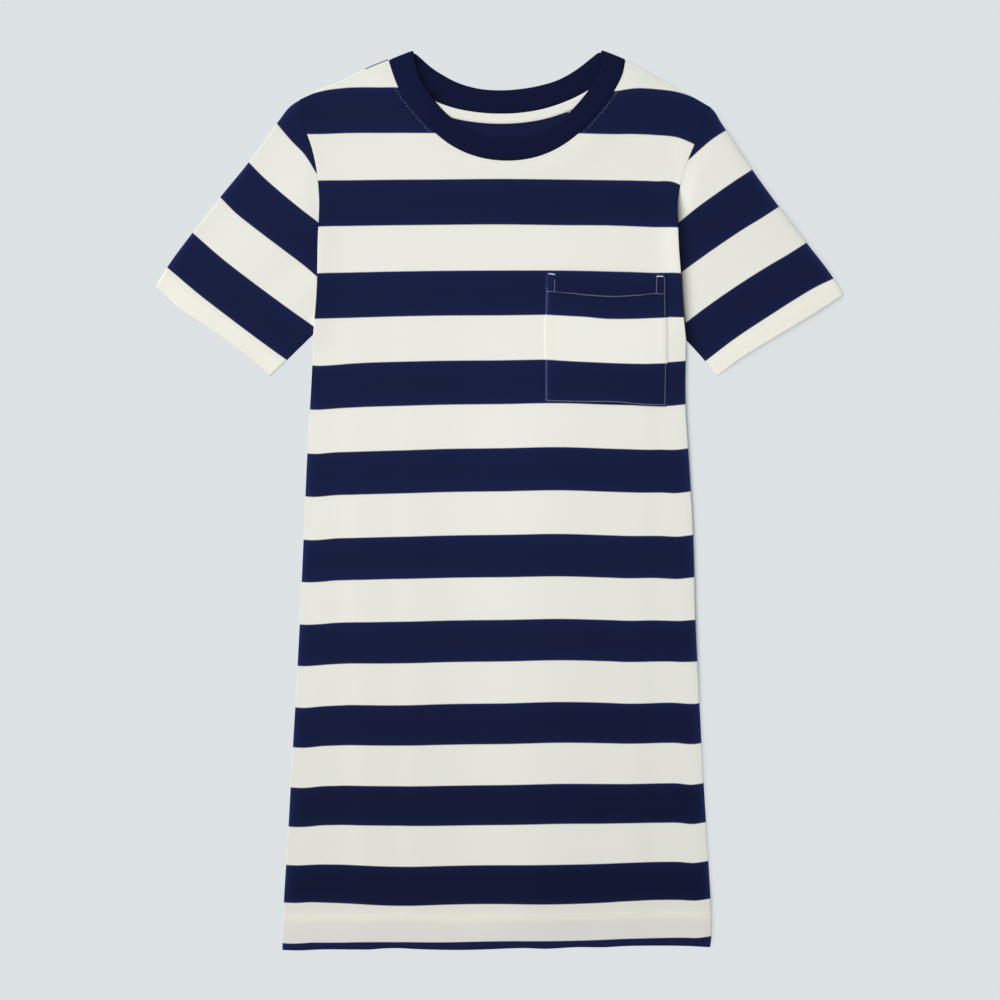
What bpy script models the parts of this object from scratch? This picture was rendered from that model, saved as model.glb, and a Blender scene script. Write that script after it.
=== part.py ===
"""A striped jersey t-shirt dress, laid out flat with its front up.

Seven cut and sewn pieces: front, back, two sleeves, a ribbed neckband, the tape inside the back neck
and a chest pocket. The neck points to +Y, the wearer's left is +X, and the back lies on z = 0.
Everything is worked out in millimetres and scaled to metres as the meshes are made.
"""

import math

import bmesh
import bpy
import numpy as np

MM = 0.001

# Cloth, in mm
WALL = 1.0  # one layer of jersey
HEMMED = 1.7  # where the cloth is turned up and lies double
RIB = 2.0  # the neckband, folded double
SEAM_GAP = 0.3  # between two pieces that are sewn together
LAYER_GAP = 0.3  # between two layers that lie on each other
POCKET_GAP = 0.45  # the pocket lies on a waved face, whose cells are not its own
LOFT = 0.3  # air under the front, away from its edges
LOFT_RISE = 24.0  # over this width the front rises from its edges
BODY_HEM = 40.0  # depth of the turned-up hem
CUFF_HEM = 20.0
STEP = 3.0  # over this length a hem's extra layer comes in
TAPE_WIDE = 9.4
POCKET_HEM = 20.0

# Heights above the table, in mm
SLEEVE_INSIDE = 0.6  # between a sleeve's two layers
BAND_BACK_MID = RIB / 2  # middle of the band's wall on its back half
BAND_FRONT_SIDE = 3.8  # middle of the band's wall where its front half crosses the tape
BAND_FRONT_MIDDLE = 3.4  # and at the centre front
BAND_TURN = (BAND_FRONT_SIDE - BAND_BACK_MID) / 2  # radius of the shoulder folds, at mid wall
FOLD_REACH = BAND_TURN + RIB / 2
NECK_RISE = 1.4  # the front rises this much to meet the band
NECK_LEVEL = 9.0  # it stays that high this far from the neck seam
NECK_FALL = 22.0  # and falls away over about this distance
ARMHOLE_RISE = 0.9  # the front rises this much along the armholes
ARMHOLE_FROM = (130.0, 200.0)  # coming in over these heights on the dress
UNDERARM_RISE = 1.3  # and this much more where it lies over the sleeve, above the underarm
UNDERARM_FROM = (150.0, 200.0)
UNDERARM_TO = (260.0, 340.0)
ARMHOLE_FALL = 14.0
BAND_SLOPE = (8.0, 46.0)  # the band's front half climbs to its sides over these distances from its middle
RIDGE_ENDS = (4.0, 30.0)  # the sleeves' ridges come in over these distances from the folds
EDGE_ANGLE = 40  # degrees: sharper edges than this are shaded as edges

UNDERARM = 0.742  # share of the way from hem to shoulder at which the armholes start
SIDE_REACH = 0.2  # share of a body panel's width over which its sides bend the grid

# Grids
SHOULDER_CELLS = 4
NECK_CELLS = 22
LONG_CELLS = 17
SLEEVE_CELLS_ROUND = 12
SLEEVE_CELLS_LONG = 11
POCKET_CELLS = (9, 8)

# Outlines of the laid garment, in mm, as (x, y) from the middle of its box.
HEM = ((-228.4, -456.4), (-104.8, -454.9), (0.4, -454.6), (105.6, -452.6), (180.0, -451.4), (221.4, -453.2))
SIDE_RIGHT = (  # the wearer's right, up to the underarm
    (-228.4, -456.4), (-228.4, -438.0), (-226.2, -400.9), (-220.4, -334.9), (-214.2, -253.7),
    (-207.9, -173.9), (-202.0, -94.5), (-197.0, -18.0), (-191.4, 72.7), (-185.3, 147.1), (-182.9, 186.7),
)
SIDE_LEFT = (
    (221.4, -453.2), (222.3, -440.0), (219.9, -400.9), (214.8, -334.9), (208.4, -253.7),
    (202.9, -173.9), (198.4, -94.5), (194.4, -18.0), (189.4, 72.7), (184.6, 140.0), (183.2, 181.3),
)
ARMHOLE_RIGHT = (  # from the underarm to the shoulder
    (-182.9, 186.7), (-179.2, 230.0), (-177.2, 275.0), (-174.8, 322.0), (-177.8, 346.0),
    (-181.8, 367.0), (-186.0, 381.0), (-191.2, 410.3),
)
ARMHOLE_LEFT = (
    (183.2, 181.3), (181.0, 203.0), (177.3, 246.0), (173.8, 294.0), (172.6, 311.0),
    (174.9, 330.0), (181.8, 354.0), (188.3, 370.0), (202.0, 402.5),
)
SHOULDER_RIGHT = (  # from the sleeve to the neck
    (-191.2, 410.3), (-175.7, 417.4), (-156.4, 424.8), (-143.0, 430.6), (-125.7, 439.2), (-105.9, 447.4),
)
SHOULDER_LEFT = ((202.0, 402.5), (178.0, 416.8), (153.3, 430.7), (130.7, 442.5), (120.0, 448.2))
BACK_SHOULDER_OUT = 0.8  # the back shows by this much past the front's shoulder
BACK_ARMHOLE_OUT = 5.0  # the back's armholes are this much less scooped

# The neckband. Its two shoulder folds run from the seam to the free edge.
FOLD_RIGHT = ((-105.6, 447.4), (-83.9, 454.8))
FOLD_LEFT = ((119.7, 448.4), (99.2, 456.3))
FOLDS = ((FOLD_RIGHT, -1), (FOLD_LEFT, 1))
FOLD_TURNS = (45, 90, 135)  # degrees round a fold, from the front half to the back half
FRONT_SEAM = (
    (-102.7, 437.2), (-96.2, 420.7), (-80.0, 399.2), (-62.3, 379.9), (-47.7, 368.6), (-18.9, 356.4),
    (0.4, 353.5), (19.7, 353.9), (38.9, 357.9), (58.2, 366.5), (75.6, 378.9), (93.5, 398.0),
    (109.4, 418.3), (117.4, 434.8),
)
FRONT_FREE = (
    (-79.5, 441.9), (-75.9, 430.1), (-69.9, 419.5), (-61.4, 408.4), (-49.5, 396.2), (-38.4, 388.3),
    (-25.6, 381.7), (-11.3, 377.0), (0.4, 375.2), (12.6, 375.1), (28.6, 377.2), (44.4, 381.9),
    (57.0, 389.6), (73.1, 404.7), (84.0, 417.6), (93.1, 430.0), (97.3, 440.7),
)
BACK_SEAM = (
    (-97.5, 435.5), (-84.0, 422.5), (-67.0, 411.6), (-47.5, 403.9), (-18.8, 398.5), (0.4, 397.5),
    (19.6, 398.3), (38.8, 401.2), (57.9, 406.7), (70.1, 411.6), (83.2, 418.3), (98.0, 427.5), (111.5, 438.0),
)
BACK_FREE = (
    (-78.7, 451.0), (-69.7, 443.7), (-57.6, 434.8), (-47.4, 429.5), (-18.7, 420.5), (0.4, 419.2),
    (19.5, 420.4), (38.7, 423.6), (57.7, 429.5), (69.9, 436.0), (79.0, 441.4), (88.0, 447.6),
)

# Sleeves: outer fold from shoulder to tip, cuff from underarm to tip, underarm from body to cuff.
OUTER_RIGHT = (
    (-191.5, 410.5), (-199.0, 405.4), (-213.5, 387.9), (-241.7, 351.3), (-269.6, 318.7),
    (-297.9, 284.8), (-323.4, 252.6), (-336.3, 233.4),
)
OUTER_LEFT = (
    (202.3, 402.7), (217.0, 382.1), (243.4, 345.0), (269.2, 310.2), (297.4, 275.5), (325.1, 241.9),
    (336.4, 225.4),
)
CUFF_RIGHT = (
    (-225.6, 146.0), (-243.2, 161.0), (-264.6, 178.0), (-287.1, 193.7), (-313.5, 212.0), (-336.3, 233.4),
)
CUFF_LEFT = ((215.0, 145.8), (235.1, 161.4), (262.8, 179.2), (290.5, 196.0), (318.1, 213.2), (336.4, 225.4))
UNDER_RIGHT = ((-183.2, 186.7), (-208.9, 162.2), (-225.6, 146.0))
UNDER_LEFT = ((183.5, 181.3), (200.0, 163.6), (215.0, 145.8))

# The pocket's edges, on the wearer's left breast: mouth, bottom, and the sides between them.
POCKET_MOUTH = ((44.6, 247.2), (62.0, 248.4), (84.0, 248.2), (114.5, 247.2), (140.0, 246.8), (162.6, 245.0))
POCKET_BOTTOM = ((44.4, 120.4), (81.5, 119.8), (115.8, 119.2), (142.7, 117.0), (165.0, 116.2))
POCKET_INNER = ((44.4, 120.4), (44.3, 180.0), (44.6, 247.2))
POCKET_OUTER = ((165.0, 116.2), (165.4, 165.0), (163.8, 215.0), (162.6, 245.0))

# How the laid front rises and falls across its width, in soft lengthwise steps, in mm.
FRONT_STEPS = (
    # x_from, x_to, rise
    (-167.0, -139.0, 0.6),
    (-106.0, -90.0, 0.2),
    (-50.0, 52.0, 2.4),
    (56.0, 124.0, -0.6),
    (138.0, 164.0, -1.0),
)
STEPS_HEM = (-455.0, -395.0)  # the steps come in over these heights on the dress
STEPS_CHEST = (60.0, 300.0)  # and fade out over these

# Soft ridges along each sleeve: share of the way from underarm to outer fold at the root and at the
# cuff, height and half width in mm.
SLEEVE_RIDGES = (
    # at_root, at_cuff, high, half
    (0.60, 0.62, 1.6, 62.0),
    (0.25, 0.30, 0.9, 34.0),
)

# Colours, as sRGB
CREAM = (0.905, 0.910, 0.870)
NAVY = (0.098, 0.122, 0.245)


def line_through(points):
    """A smooth line through the points, as a function of the share of its length."""
    p = np.array(points, float)
    gaps = np.linalg.norm(np.diff(p, axis=0), axis=1)
    knots = np.concatenate([[0.0], np.cumsum(gaps)])
    slopes = np.gradient(p, knots, axis=0) if len(p) > 2 else np.repeat(np.diff(p, axis=0) / gaps, 2, 0)
    fine = np.linspace(0.0, knots[-1], 24 * len(p))
    cell = np.clip(np.searchsorted(knots, fine, side="right") - 1, 0, len(p) - 2)
    width = gaps[cell][:, None]
    t = ((fine - knots[cell]) / gaps[cell])[:, None]
    dense = (
        (2 * t**3 - 3 * t**2 + 1) * p[cell]
        + (t**3 - 2 * t**2 + t) * width * slopes[cell]
        + (3 * t**2 - 2 * t**3) * p[cell + 1]
        + (t**3 - t**2) * width * slopes[cell + 1]
    )
    return function_of(dense, arc_shares(dense))


def arc_shares(dense):
    """How far along a line each of its points is, from 0 to 1."""
    run = np.concatenate([[0.0], np.cumsum(np.linalg.norm(np.diff(dense, axis=0), axis=1))])
    return run / run[-1]


def arc_length(line):
    dense = line(np.linspace(0.0, 1.0, 500))
    return np.linalg.norm(np.diff(dense, axis=0), axis=1).sum()


def function_of(dense, shares):
    """A line of close points as a function of the share along it."""

    def at(t):
        return np.stack([np.interp(t, shares, dense[:, 0]), np.interp(t, shares, dense[:, 1])], axis=-1)

    return at


def by_axis(line, axis):
    """The same line, as a function of the share of its run along x (0) or y (1)."""
    dense = line(np.linspace(0.0, 1.0, 600))
    along = dense[:, axis]
    shares = (along - along[0]) / (along[-1] - along[0])
    return function_of(dense, np.maximum.accumulate(shares))


def joined(*lines):
    """One line out of several that follow each other."""
    dense = np.concatenate([line(np.linspace(0.0, 1.0, 300)) for line in lines])
    return function_of(dense, arc_shares(dense))


def moved_out(line, distance):
    """The line moved to the left of its own direction, each point with the share that it had."""
    shares = np.linspace(0.0, 1.0, 500)
    dense = line(shares)
    ahead = np.gradient(dense, axis=0)
    ahead /= np.linalg.norm(ahead, axis=1)[:, None]
    return function_of(dense + distance * np.stack([-ahead[:, 1], ahead[:, 0]], axis=1), shares)


def patch(low, high, start, end, reach=1.0):
    """Points in plan between four lines: low and high run across, start and end run up.

    The two that run up bend the patch over this share of its width, from their own side.
    """

    def at(u, v):
        across, up = np.asarray(u)[..., None], np.asarray(v)[..., None]

        def straight(share):
            return (1 - up) * low(share) + up * high(share)

        near_start = np.clip(1 - across / reach, 0.0, 1.0)
        near_end = np.clip(1 - (1 - across) / reach, 0.0, 1.0)
        bent = near_start * (start(v) - straight(0.0)) + near_end * (end(v) - straight(1.0))
        return straight(u) + bent

    return at


def soft_step(value, start, end):
    """0 before start, 1 after end, smooth between."""
    t = np.clip((value - start) / (end - start), 0.0, 1.0)
    return t * t * (3 - 2 * t)


def distance_to(plan, line):
    """How far each point in plan is from a line."""
    dense = line(np.linspace(0.0, 1.0, 160))
    apart = plan[..., None, :] - dense
    return np.sqrt((apart**2).sum(-1)).min(-1)


def bump(offset, half):
    """A soft hump 1 high, reaching half to each side."""
    return np.cos(np.clip(offset / half, -1.0, 1.0) * math.pi / 2) ** 2


def with_height(plan, height):
    return np.concatenate([plan, np.asarray(height)[..., None]], axis=-1)


def make_object(name, points, quads, material):
    """A named object from rows of points in mm and its faces."""
    work = bmesh.new()
    verts = [work.verts.new(point * MM) for point in points.reshape(-1, 3)]
    for quad in quads:
        work.faces.new([verts[i] for i in quad])
    bmesh.ops.recalc_face_normals(work, faces=work.faces)
    mesh = bpy.data.meshes.new(name)
    work.to_mesh(mesh)
    work.free()
    mesh.shade_smooth()
    mesh.set_sharp_from_angle(angle=math.radians(EDGE_ANGLE))
    mesh.materials.append(material)
    made = bpy.data.objects.new(name, mesh)
    bpy.context.scene.collection.objects.link(made)
    return made


def sheet(name, under, over, material):
    """A wall between two grids of points, closed round its rim."""
    rows, columns = under.shape[:2]
    index = np.arange(2 * rows * columns).reshape(2, rows, columns)
    low, high = index
    quads = []
    for r in range(rows - 1):
        for c in range(columns - 1):
            quads.append((high[r, c], high[r, c + 1], high[r + 1, c + 1], high[r + 1, c]))
            quads.append((low[r, c], low[r + 1, c], low[r + 1, c + 1], low[r, c + 1]))
    rim = [(0, c) for c in range(columns)] + [(r, columns - 1) for r in range(1, rows)]
    rim += [(rows - 1, c) for c in range(columns - 2, -1, -1)] + [(r, 0) for r in range(rows - 2, 0, -1)]
    for here, there in zip(rim, rim[1:] + rim[:1]):
        quads.append((low[here], low[there], high[there], high[here]))
    return make_object(name, np.stack([under, over]), quads, material)


def tube(name, outer, inner, material):
    """A wall between two rows of closed sections, open at both ends."""
    rows, around = outer.shape[:2]
    out, into = np.arange(2 * rows * around).reshape(2, rows, around)
    quads = []
    for k in range(around):
        n = (k + 1) % around
        for r in range(rows - 1):
            quads.append((out[r, k], out[r, n], out[r + 1, n], out[r + 1, k]))
            quads.append((into[r, k], into[r + 1, k], into[r + 1, n], into[r, n]))
        quads.append((out[0, k], into[0, k], into[0, n], out[0, n]))
        quads.append((out[-1, k], out[-1, n], into[-1, n], into[-1, k]))
    return make_object(name, np.stack([outer, inner]), quads, material)


def ring(name, sections, material):
    """A closed loop of closed sections."""
    count, corners = sections.shape[:2]
    index = np.arange(count * corners).reshape(count, corners)
    quads = []
    for i in range(count):
        for k in range(corners):
            j, n = (i + 1) % count, (k + 1) % corners
            quads.append((index[i, k], index[i, n], index[j, n], index[j, k]))
    return make_object(name, sections, quads, material)


def cloth(name, colour, roughness):
    """A plain cloth material."""
    material = bpy.data.materials.new(name)
    material.use_nodes = True
    shader = material.node_tree.nodes["Principled BSDF"]
    linear = [((c + 0.055) / 1.055) ** 2.4 for c in colour]
    shader.inputs["Base Color"].default_value = (*linear, 1.0)
    shader.inputs["Roughness"].default_value = roughness
    shader.inputs["Metallic"].default_value = 0.0
    material.diffuse_color = (*linear, 1.0)
    return material


# Lines that several pieces share

front_seam = line_through((FOLD_RIGHT[0], *FRONT_SEAM, FOLD_LEFT[0]))
back_seam = line_through((FOLD_RIGHT[0], *BACK_SEAM, FOLD_LEFT[0]))
armhole_right = line_through(ARMHOLE_RIGHT)
armhole_left = line_through(ARMHOLE_LEFT)
hem = by_axis(line_through(HEM), 0)


def neck_shares(seam):
    """Where a neck seam's stitches are laid out: between the band's two shoulder folds."""
    length = arc_length(seam)
    return np.linspace(FOLD_REACH / length, 1 - FOLD_REACH / length, NECK_CELLS + 1)


def back_armhole(line, side):
    """The back's armhole: the front's, moved out most in its middle. side is -1 or 1."""
    shares = np.linspace(0.0, 1.0, 300)
    dense = line(shares)
    dense[:, 0] += side * BACK_ARMHOLE_OUT * np.sin(math.pi * shares) ** 2
    return function_of(dense, shares)


def sleeve_shares(wide, high):
    """Where the points of a sleeve's layer lie across it, clear of its two folds."""
    edge = high / 2 / wide
    return np.linspace(edge, 1 - edge, SLEEVE_CELLS_ROUND + 1)


def side_and_armhole(side_points, armhole):
    """A body panel's edge from hem to shoulder, with the underarm at the same share on every edge."""
    side = by_axis(line_through(side_points), 1)

    def at(v):
        v = np.asarray(v, float)
        below = side(np.clip(v / UNDERARM, 0.0, 1.0))
        above = armhole(np.clip((v - UNDERARM) / (1 - UNDERARM), 0.0, 1.0))
        return np.where((v < UNDERARM)[..., None], below, above)

    return at


def body_patch(neck, right_armhole, left_armhole, shoulder_out):
    """A body panel in plan, with the columns that meet its neck's corners."""
    shift = np.array([0.0, shoulder_out])
    right, left = np.array(SHOULDER_RIGHT) + shift, np.array(SHOULDER_LEFT[::-1]) + shift
    right[0] -= shift
    left[-1] -= shift
    shares = np.concatenate([[0.0], neck_shares(neck), [1.0]])
    neck = moved_out(neck, -SEAM_GAP)
    top = by_axis(joined(line_through(right), neck, line_through(left)), 0)
    start = side_and_armhole(SIDE_RIGHT, right_armhole)
    end = side_and_armhole(SIDE_LEFT, left_armhole)
    first, last = top(0.0)[0], top(1.0)[0]
    neck_x = neck(shares)[:, 0]
    across = (neck_x - first) / (last - first)
    columns = np.concatenate([
        np.linspace(0.0, across[0], SHOULDER_CELLS, endpoint=False),
        across,
        np.linspace(across[-1], 1.0, SHOULDER_CELLS + 1)[1:],
    ])
    length = np.linalg.norm(top(columns) - hem(columns), axis=1)
    hem_rows = np.array([0.0, BODY_HEM / 2, BODY_HEM - STEP / 2, BODY_HEM + STEP / 2])[:, None] / length
    side_rows = np.linspace(UNDERARM / LONG_CELLS, UNDERARM, LONG_CELLS)[1:]
    at_armhole = sleeve_shares(arc_length(armhole_right), 2 * WALL + SLEEVE_INSIDE)
    rows = np.concatenate([side_rows, UNDERARM + (1 - UNDERARM) * at_armhole, [1.0]])[:, None]
    rows = np.concatenate([hem_rows, np.broadcast_to(rows, (len(rows), len(columns)))])
    return patch(hem, top, start, end, SIDE_REACH)(np.broadcast_to(columns, rows.shape), rows)


def hemmed_wall(plan):
    """Thickness of a body panel: double below the hem's stitching."""
    hem_line = np.interp(plan[..., 0], *np.array(HEM).T)
    depth = plan[..., 1] - hem_line
    return HEMMED - (HEMMED - WALL) * soft_step(depth, BODY_HEM - STEP, BODY_HEM + STEP)


def front_under(plan):
    """Height of the front's underside over the table."""
    x, y = plan[..., 0], plan[..., 1]
    height = hemmed_wall(plan) + LAYER_GAP
    to_armhole = np.minimum(distance_to(plan, armhole_right), distance_to(plan, armhole_left))
    side_lines = (line_through(SIDE_RIGHT), line_through(SIDE_LEFT))
    to_side = np.minimum(*(distance_to(plan, line) for line in side_lines))
    shoulder_lines = (line_through(SHOULDER_RIGHT), line_through(SHOULDER_LEFT))
    to_shoulder = np.minimum(*(distance_to(plan, line) for line in shoulder_lines))
    to_edge = np.minimum(np.minimum(to_side, to_armhole), to_shoulder)
    inside = soft_step(to_edge, 0.0, LOFT_RISE)
    steps = sum(rise * soft_step(x, x_from, x_to) for x_from, x_to, rise in FRONT_STEPS)
    along = soft_step(y, *STEPS_HEM) * (1 - soft_step(y, *STEPS_CHEST))
    height = height + (LOFT + steps * along) * inside
    to_neck = np.maximum(distance_to(plan, front_seam) - NECK_LEVEL, 0.0)
    height = height + NECK_RISE * np.exp(-((to_neck / NECK_FALL) ** 2))
    beside_sleeve = ARMHOLE_RISE * soft_step(y, *ARMHOLE_FROM)
    over_sleeve = UNDERARM_RISE * soft_step(y, *UNDERARM_FROM) * (1 - soft_step(y, *UNDERARM_TO))
    return height + (beside_sleeve + over_sleeve) * np.exp(-((to_armhole / ARMHOLE_FALL) ** 2))


def front_over(plan):
    """Height of the front's outer face over the table."""
    return front_under(plan) + hemmed_wall(plan)


def make_front():
    plan = body_patch(front_seam, armhole_right, armhole_left, 0.0)
    under = with_height(plan, front_under(plan))
    over = with_height(plan, front_over(plan))
    return sheet("body_front", under, over, cloth("front jersey", CREAM, 0.9))


def make_back():
    right, left = back_armhole(armhole_right, -1), back_armhole(armhole_left, 1)
    plan = body_patch(back_seam, right, left, BACK_SHOULDER_OUT)
    under = with_height(plan, np.zeros(plan.shape[:2]))
    over = with_height(plan, hemmed_wall(plan))
    return sheet("body_back", under, over, cloth("back jersey", CREAM, 0.9))


def make_sleeve(name, side, armhole, outer, cuff, under):
    """A flattened tube from the armhole to the cuff. side is -1 for the wearer's right, 1 for the left."""
    root_top = moved_out(armhole, -side * SEAM_GAP)
    root_bottom = moved_out(back_armhole(armhole, side), -side * SEAM_GAP)
    lines = (line_through(cuff), line_through(under), line_through(outer))
    top, bottom = patch(root_top, *lines), patch(root_bottom, *lines)
    length = np.linalg.norm(lines[0](0.5) - root_top(0.5))
    to_cuff = np.array([CUFF_HEM + STEP / 2, CUFF_HEM - STEP / 2, CUFF_HEM / 2, 0.0])
    rows = 1 - np.concatenate([np.linspace(length, to_cuff[0], SLEEVE_CELLS_LONG + 1)[:-1], to_cuff]) / length
    wall = WALL + (HEMMED - WALL) * soft_step(rows * length, length - CUFF_HEM - STEP, length - CUFF_HEM + STEP)
    tall = 2 * wall + SLEEVE_INSIDE
    outer_rows, inner_rows = [], []
    for v, thick, high in zip(rows, wall, tall):
        wide = np.linalg.norm(top(1.0, v) - top(0.0, v))
        outer_rows.append(section(top, bottom, v, wide, high, 0.0))
        inner_rows.append(section(top, bottom, v, wide, high, thick))
    made = cloth(f"{name} jersey", CREAM, 0.9)
    return tube(name, np.array(outer_rows), np.array(inner_rows), made)


def section(top, bottom, v, wide, high, thick):
    """One closed section of a sleeve, thick in from its outer face."""
    radius = high / 2 - thick
    layer = sleeve_shares(wide, high)
    edge = layer[0]
    lift = np.zeros(layer.shape)
    for at_root, at_cuff, ridge_high, half in SLEEVE_RIDGES:
        crest = at_root + (at_cuff - at_root) * v
        lift += ridge_high * bump((layer - crest) * wide, half)
    lift *= soft_step(layer * wide, *RIDGE_ENDS) * soft_step((1 - layer) * wide, *RIDGE_ENDS)
    upper = with_height(top(layer, v), high - thick + lift)
    lower = with_height(bottom(layer, v), np.full(layer.shape, thick))
    folds = []
    for fold_at, outwards, turns in ((1 - edge, 1, (45, 0, -45)), (edge, -1, (-45, 0, 45))):
        for angle in np.radians(turns):
            at = fold_at + outwards * radius * math.cos(angle) / wide
            folds.append([*(top(at, v) + bottom(at, v)) / 2, high / 2 + radius * math.sin(angle)])
    return np.concatenate([upper, folds[:3], lower[::-1], folds[3:]])


def unit(vector):
    return np.array(vector) / np.linalg.norm(vector)


def fold_out(fold, side):
    """Which way a shoulder fold of the band faces, in plan."""
    along = unit(np.subtract(fold[1], fold[0]))
    return np.array([along[1] * side, -along[0] * side])


def band_half(seam, free_points, height, up):
    """Sections along one half of the band: seam point, free point and outward normal."""
    ends = [np.array(fold[1]) - fold_out(fold, side) * FOLD_REACH for fold, side in FOLDS]
    free = line_through((ends[0], *free_points, ends[1]))
    shares = np.linspace(0.0, 1.0, NECK_CELLS + 1)
    for s, f in zip(seam(neck_shares(seam)), free(shares)):
        z = height(0.5 * (s[0] + f[0]))
        normal = np.array([0.0, 0.0, up])
        yield np.array([*s, z]), np.array([*f, z]), normal, normal


def band_fold(front, back, fold, turns):
    """Sections round a shoulder fold, between the last ones of the two halves."""
    for degrees in turns:
        angle = math.radians(degrees)
        from_front, from_back = (1 + math.cos(angle)) / 2, (1 - math.cos(angle)) / 2
        points, normals = [], []
        for end in (0, 1):
            base = from_front * front[end] + from_back * back[end]
            out = unit(np.array(fold[end]) - (front[end] + back[end])[:2] / 2)
            points.append(base + np.array([*(out * BAND_TURN * math.sin(angle)), 0.0]))
            normals.append(np.array([*(out * math.sin(angle)), math.cos(angle)]))
        yield *points, *normals


def band_front_height(x):
    middle_x = (FOLD_RIGHT[0][0] + FOLD_LEFT[0][0]) / 2
    rise = BAND_FRONT_SIDE - BAND_FRONT_MIDDLE
    return BAND_FRONT_MIDDLE + rise * soft_step(abs(x - middle_x), *BAND_SLOPE)


def band_stations():
    """The neckband's sections once round the neck."""
    front = list(band_half(front_seam, FRONT_FREE, band_front_height, 1.0))
    back = list(band_half(back_seam, BACK_FREE, lambda x: BAND_BACK_MID, -1.0))
    yield from front
    yield from band_fold(front[-1], back[-1], FOLD_LEFT, FOLD_TURNS)
    yield from reversed(back)
    yield from band_fold(front[0], back[0], FOLD_RIGHT, FOLD_TURNS[::-1])


def make_neckband():
    """One ring of rib, folded at both shoulders, with a rounded free edge."""
    half = RIB / 2
    sections = []
    for seam, free, seam_out, free_out in band_stations():
        across = unit(free - seam)
        round_in = free - across * half
        sections.append([
            seam + seam_out * half,
            round_in + free_out * half,
            free + (free_out - across) * half * 0.3,
            free - (free_out + across) * half * 0.3,
            round_in - free_out * half,
            seam - seam_out * half,
        ])
    return ring("neckband", np.array(sections), cloth("navy rib", NAVY, 0.9))


def make_tape():
    """The tape that covers the back neck's seam, on the back's inner face."""
    shares = neck_shares(back_seam)[1:-1]
    near, far = moved_out(back_seam, -SEAM_GAP)(shares), moved_out(back_seam, -SEAM_GAP - TAPE_WIDE)(shares)
    plan = np.stack([near, (near + far) / 2, far])
    base = WALL + LAYER_GAP
    under = with_height(plan, np.full(plan.shape[:2], base))
    over = with_height(plan, np.full(plan.shape[:2], base + WALL))
    return sheet("neck_tape", under, over, cloth("cream tape", CREAM, 0.85))


def make_pocket():
    """A patch pocket on the front's outer face, its mouth turned in double."""
    columns, rows = POCKET_CELLS
    plan_of = patch(*(line_through(p) for p in (POCKET_BOTTOM, POCKET_MOUTH, POCKET_INNER, POCKET_OUTER)))
    tall = np.linalg.norm(np.subtract(POCKET_MOUTH[0], POCKET_BOTTOM[0]))
    hem_share = POCKET_HEM / tall
    up = np.concatenate([
        np.linspace(0.0, 1 - hem_share - STEP / tall, rows),
        [1 - hem_share, 1 - hem_share / 2, 1.0],
    ])
    u, v = np.meshgrid(np.linspace(0.0, 1.0, columns + 1), up)
    plan = plan_of(u, v)
    base = front_over(plan) + POCKET_GAP
    thick = WALL + (HEMMED - WALL) * soft_step(v, 1 - hem_share - STEP / tall, 1 - hem_share)
    made = cloth("pocket jersey", CREAM, 0.9)
    return sheet("pocket", with_height(plan, base), with_height(plan, base + thick), made)


def clear_scene():
    for old in list(bpy.data.objects):
        bpy.data.objects.remove(old, do_unlink=True)


def centre_on_origin(pieces):
    """Hang the pieces on one empty that puts the middle of their box on the origin."""
    corners = np.array([v.co for piece in pieces for v in piece.data.vertices])
    middle = (corners.min(0) + corners.max(0)) / 2
    holder = bpy.data.objects.new("dress", None)
    bpy.context.scene.collection.objects.link(holder)
    holder.location = (-middle[0], -middle[1], 0.0)
    for piece in pieces:
        piece.parent = holder


def main():
    clear_scene()
    pieces = [
        make_back(),
        make_front(),
        make_sleeve("sleeve_right", -1, armhole_right, OUTER_RIGHT, CUFF_RIGHT, UNDER_RIGHT),
        make_sleeve("sleeve_left", 1, armhole_left, OUTER_LEFT, CUFF_LEFT, UNDER_LEFT),
        make_neckband(),
        make_tape(),
        make_pocket(),
    ]
    centre_on_origin(pieces)


main()
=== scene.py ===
"""A striped jersey t-shirt dress laid out flat: the cloth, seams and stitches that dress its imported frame.

Lengths are worked out in millimetres, in the tables' own middle, and scaled to metres as each mesh is
made. The neck points to +Y and the wearer's left is +X, as on the frame.
"""

import math

import bpy
import numpy as np
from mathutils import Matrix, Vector


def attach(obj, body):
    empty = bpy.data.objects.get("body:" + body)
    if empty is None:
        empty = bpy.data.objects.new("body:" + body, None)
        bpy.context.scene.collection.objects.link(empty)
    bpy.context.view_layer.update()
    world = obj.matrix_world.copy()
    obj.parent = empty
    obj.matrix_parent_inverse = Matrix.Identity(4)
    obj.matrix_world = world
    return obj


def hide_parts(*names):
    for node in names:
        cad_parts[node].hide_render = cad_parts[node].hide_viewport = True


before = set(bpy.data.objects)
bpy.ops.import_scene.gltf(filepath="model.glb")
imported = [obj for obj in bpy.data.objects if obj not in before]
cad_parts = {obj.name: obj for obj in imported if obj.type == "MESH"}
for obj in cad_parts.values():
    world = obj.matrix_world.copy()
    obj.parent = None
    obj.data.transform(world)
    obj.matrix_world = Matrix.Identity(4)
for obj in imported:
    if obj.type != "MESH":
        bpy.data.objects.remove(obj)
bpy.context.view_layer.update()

bl_info = {
    "name": "Striped t-shirt dress",
    "version": (1, 0, 0),
    "blender": (4, 5, 0),
    "location": "3D View > Sidebar > Dress",
    "description": "Makes a striped jersey t-shirt dress, laid out flat on its packed frame",
    "category": "Object",
}

MM = 0.001
CENTRE = (0.05, -0.23)  # the tables' point that lies on the frame's origin, in mm

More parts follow.
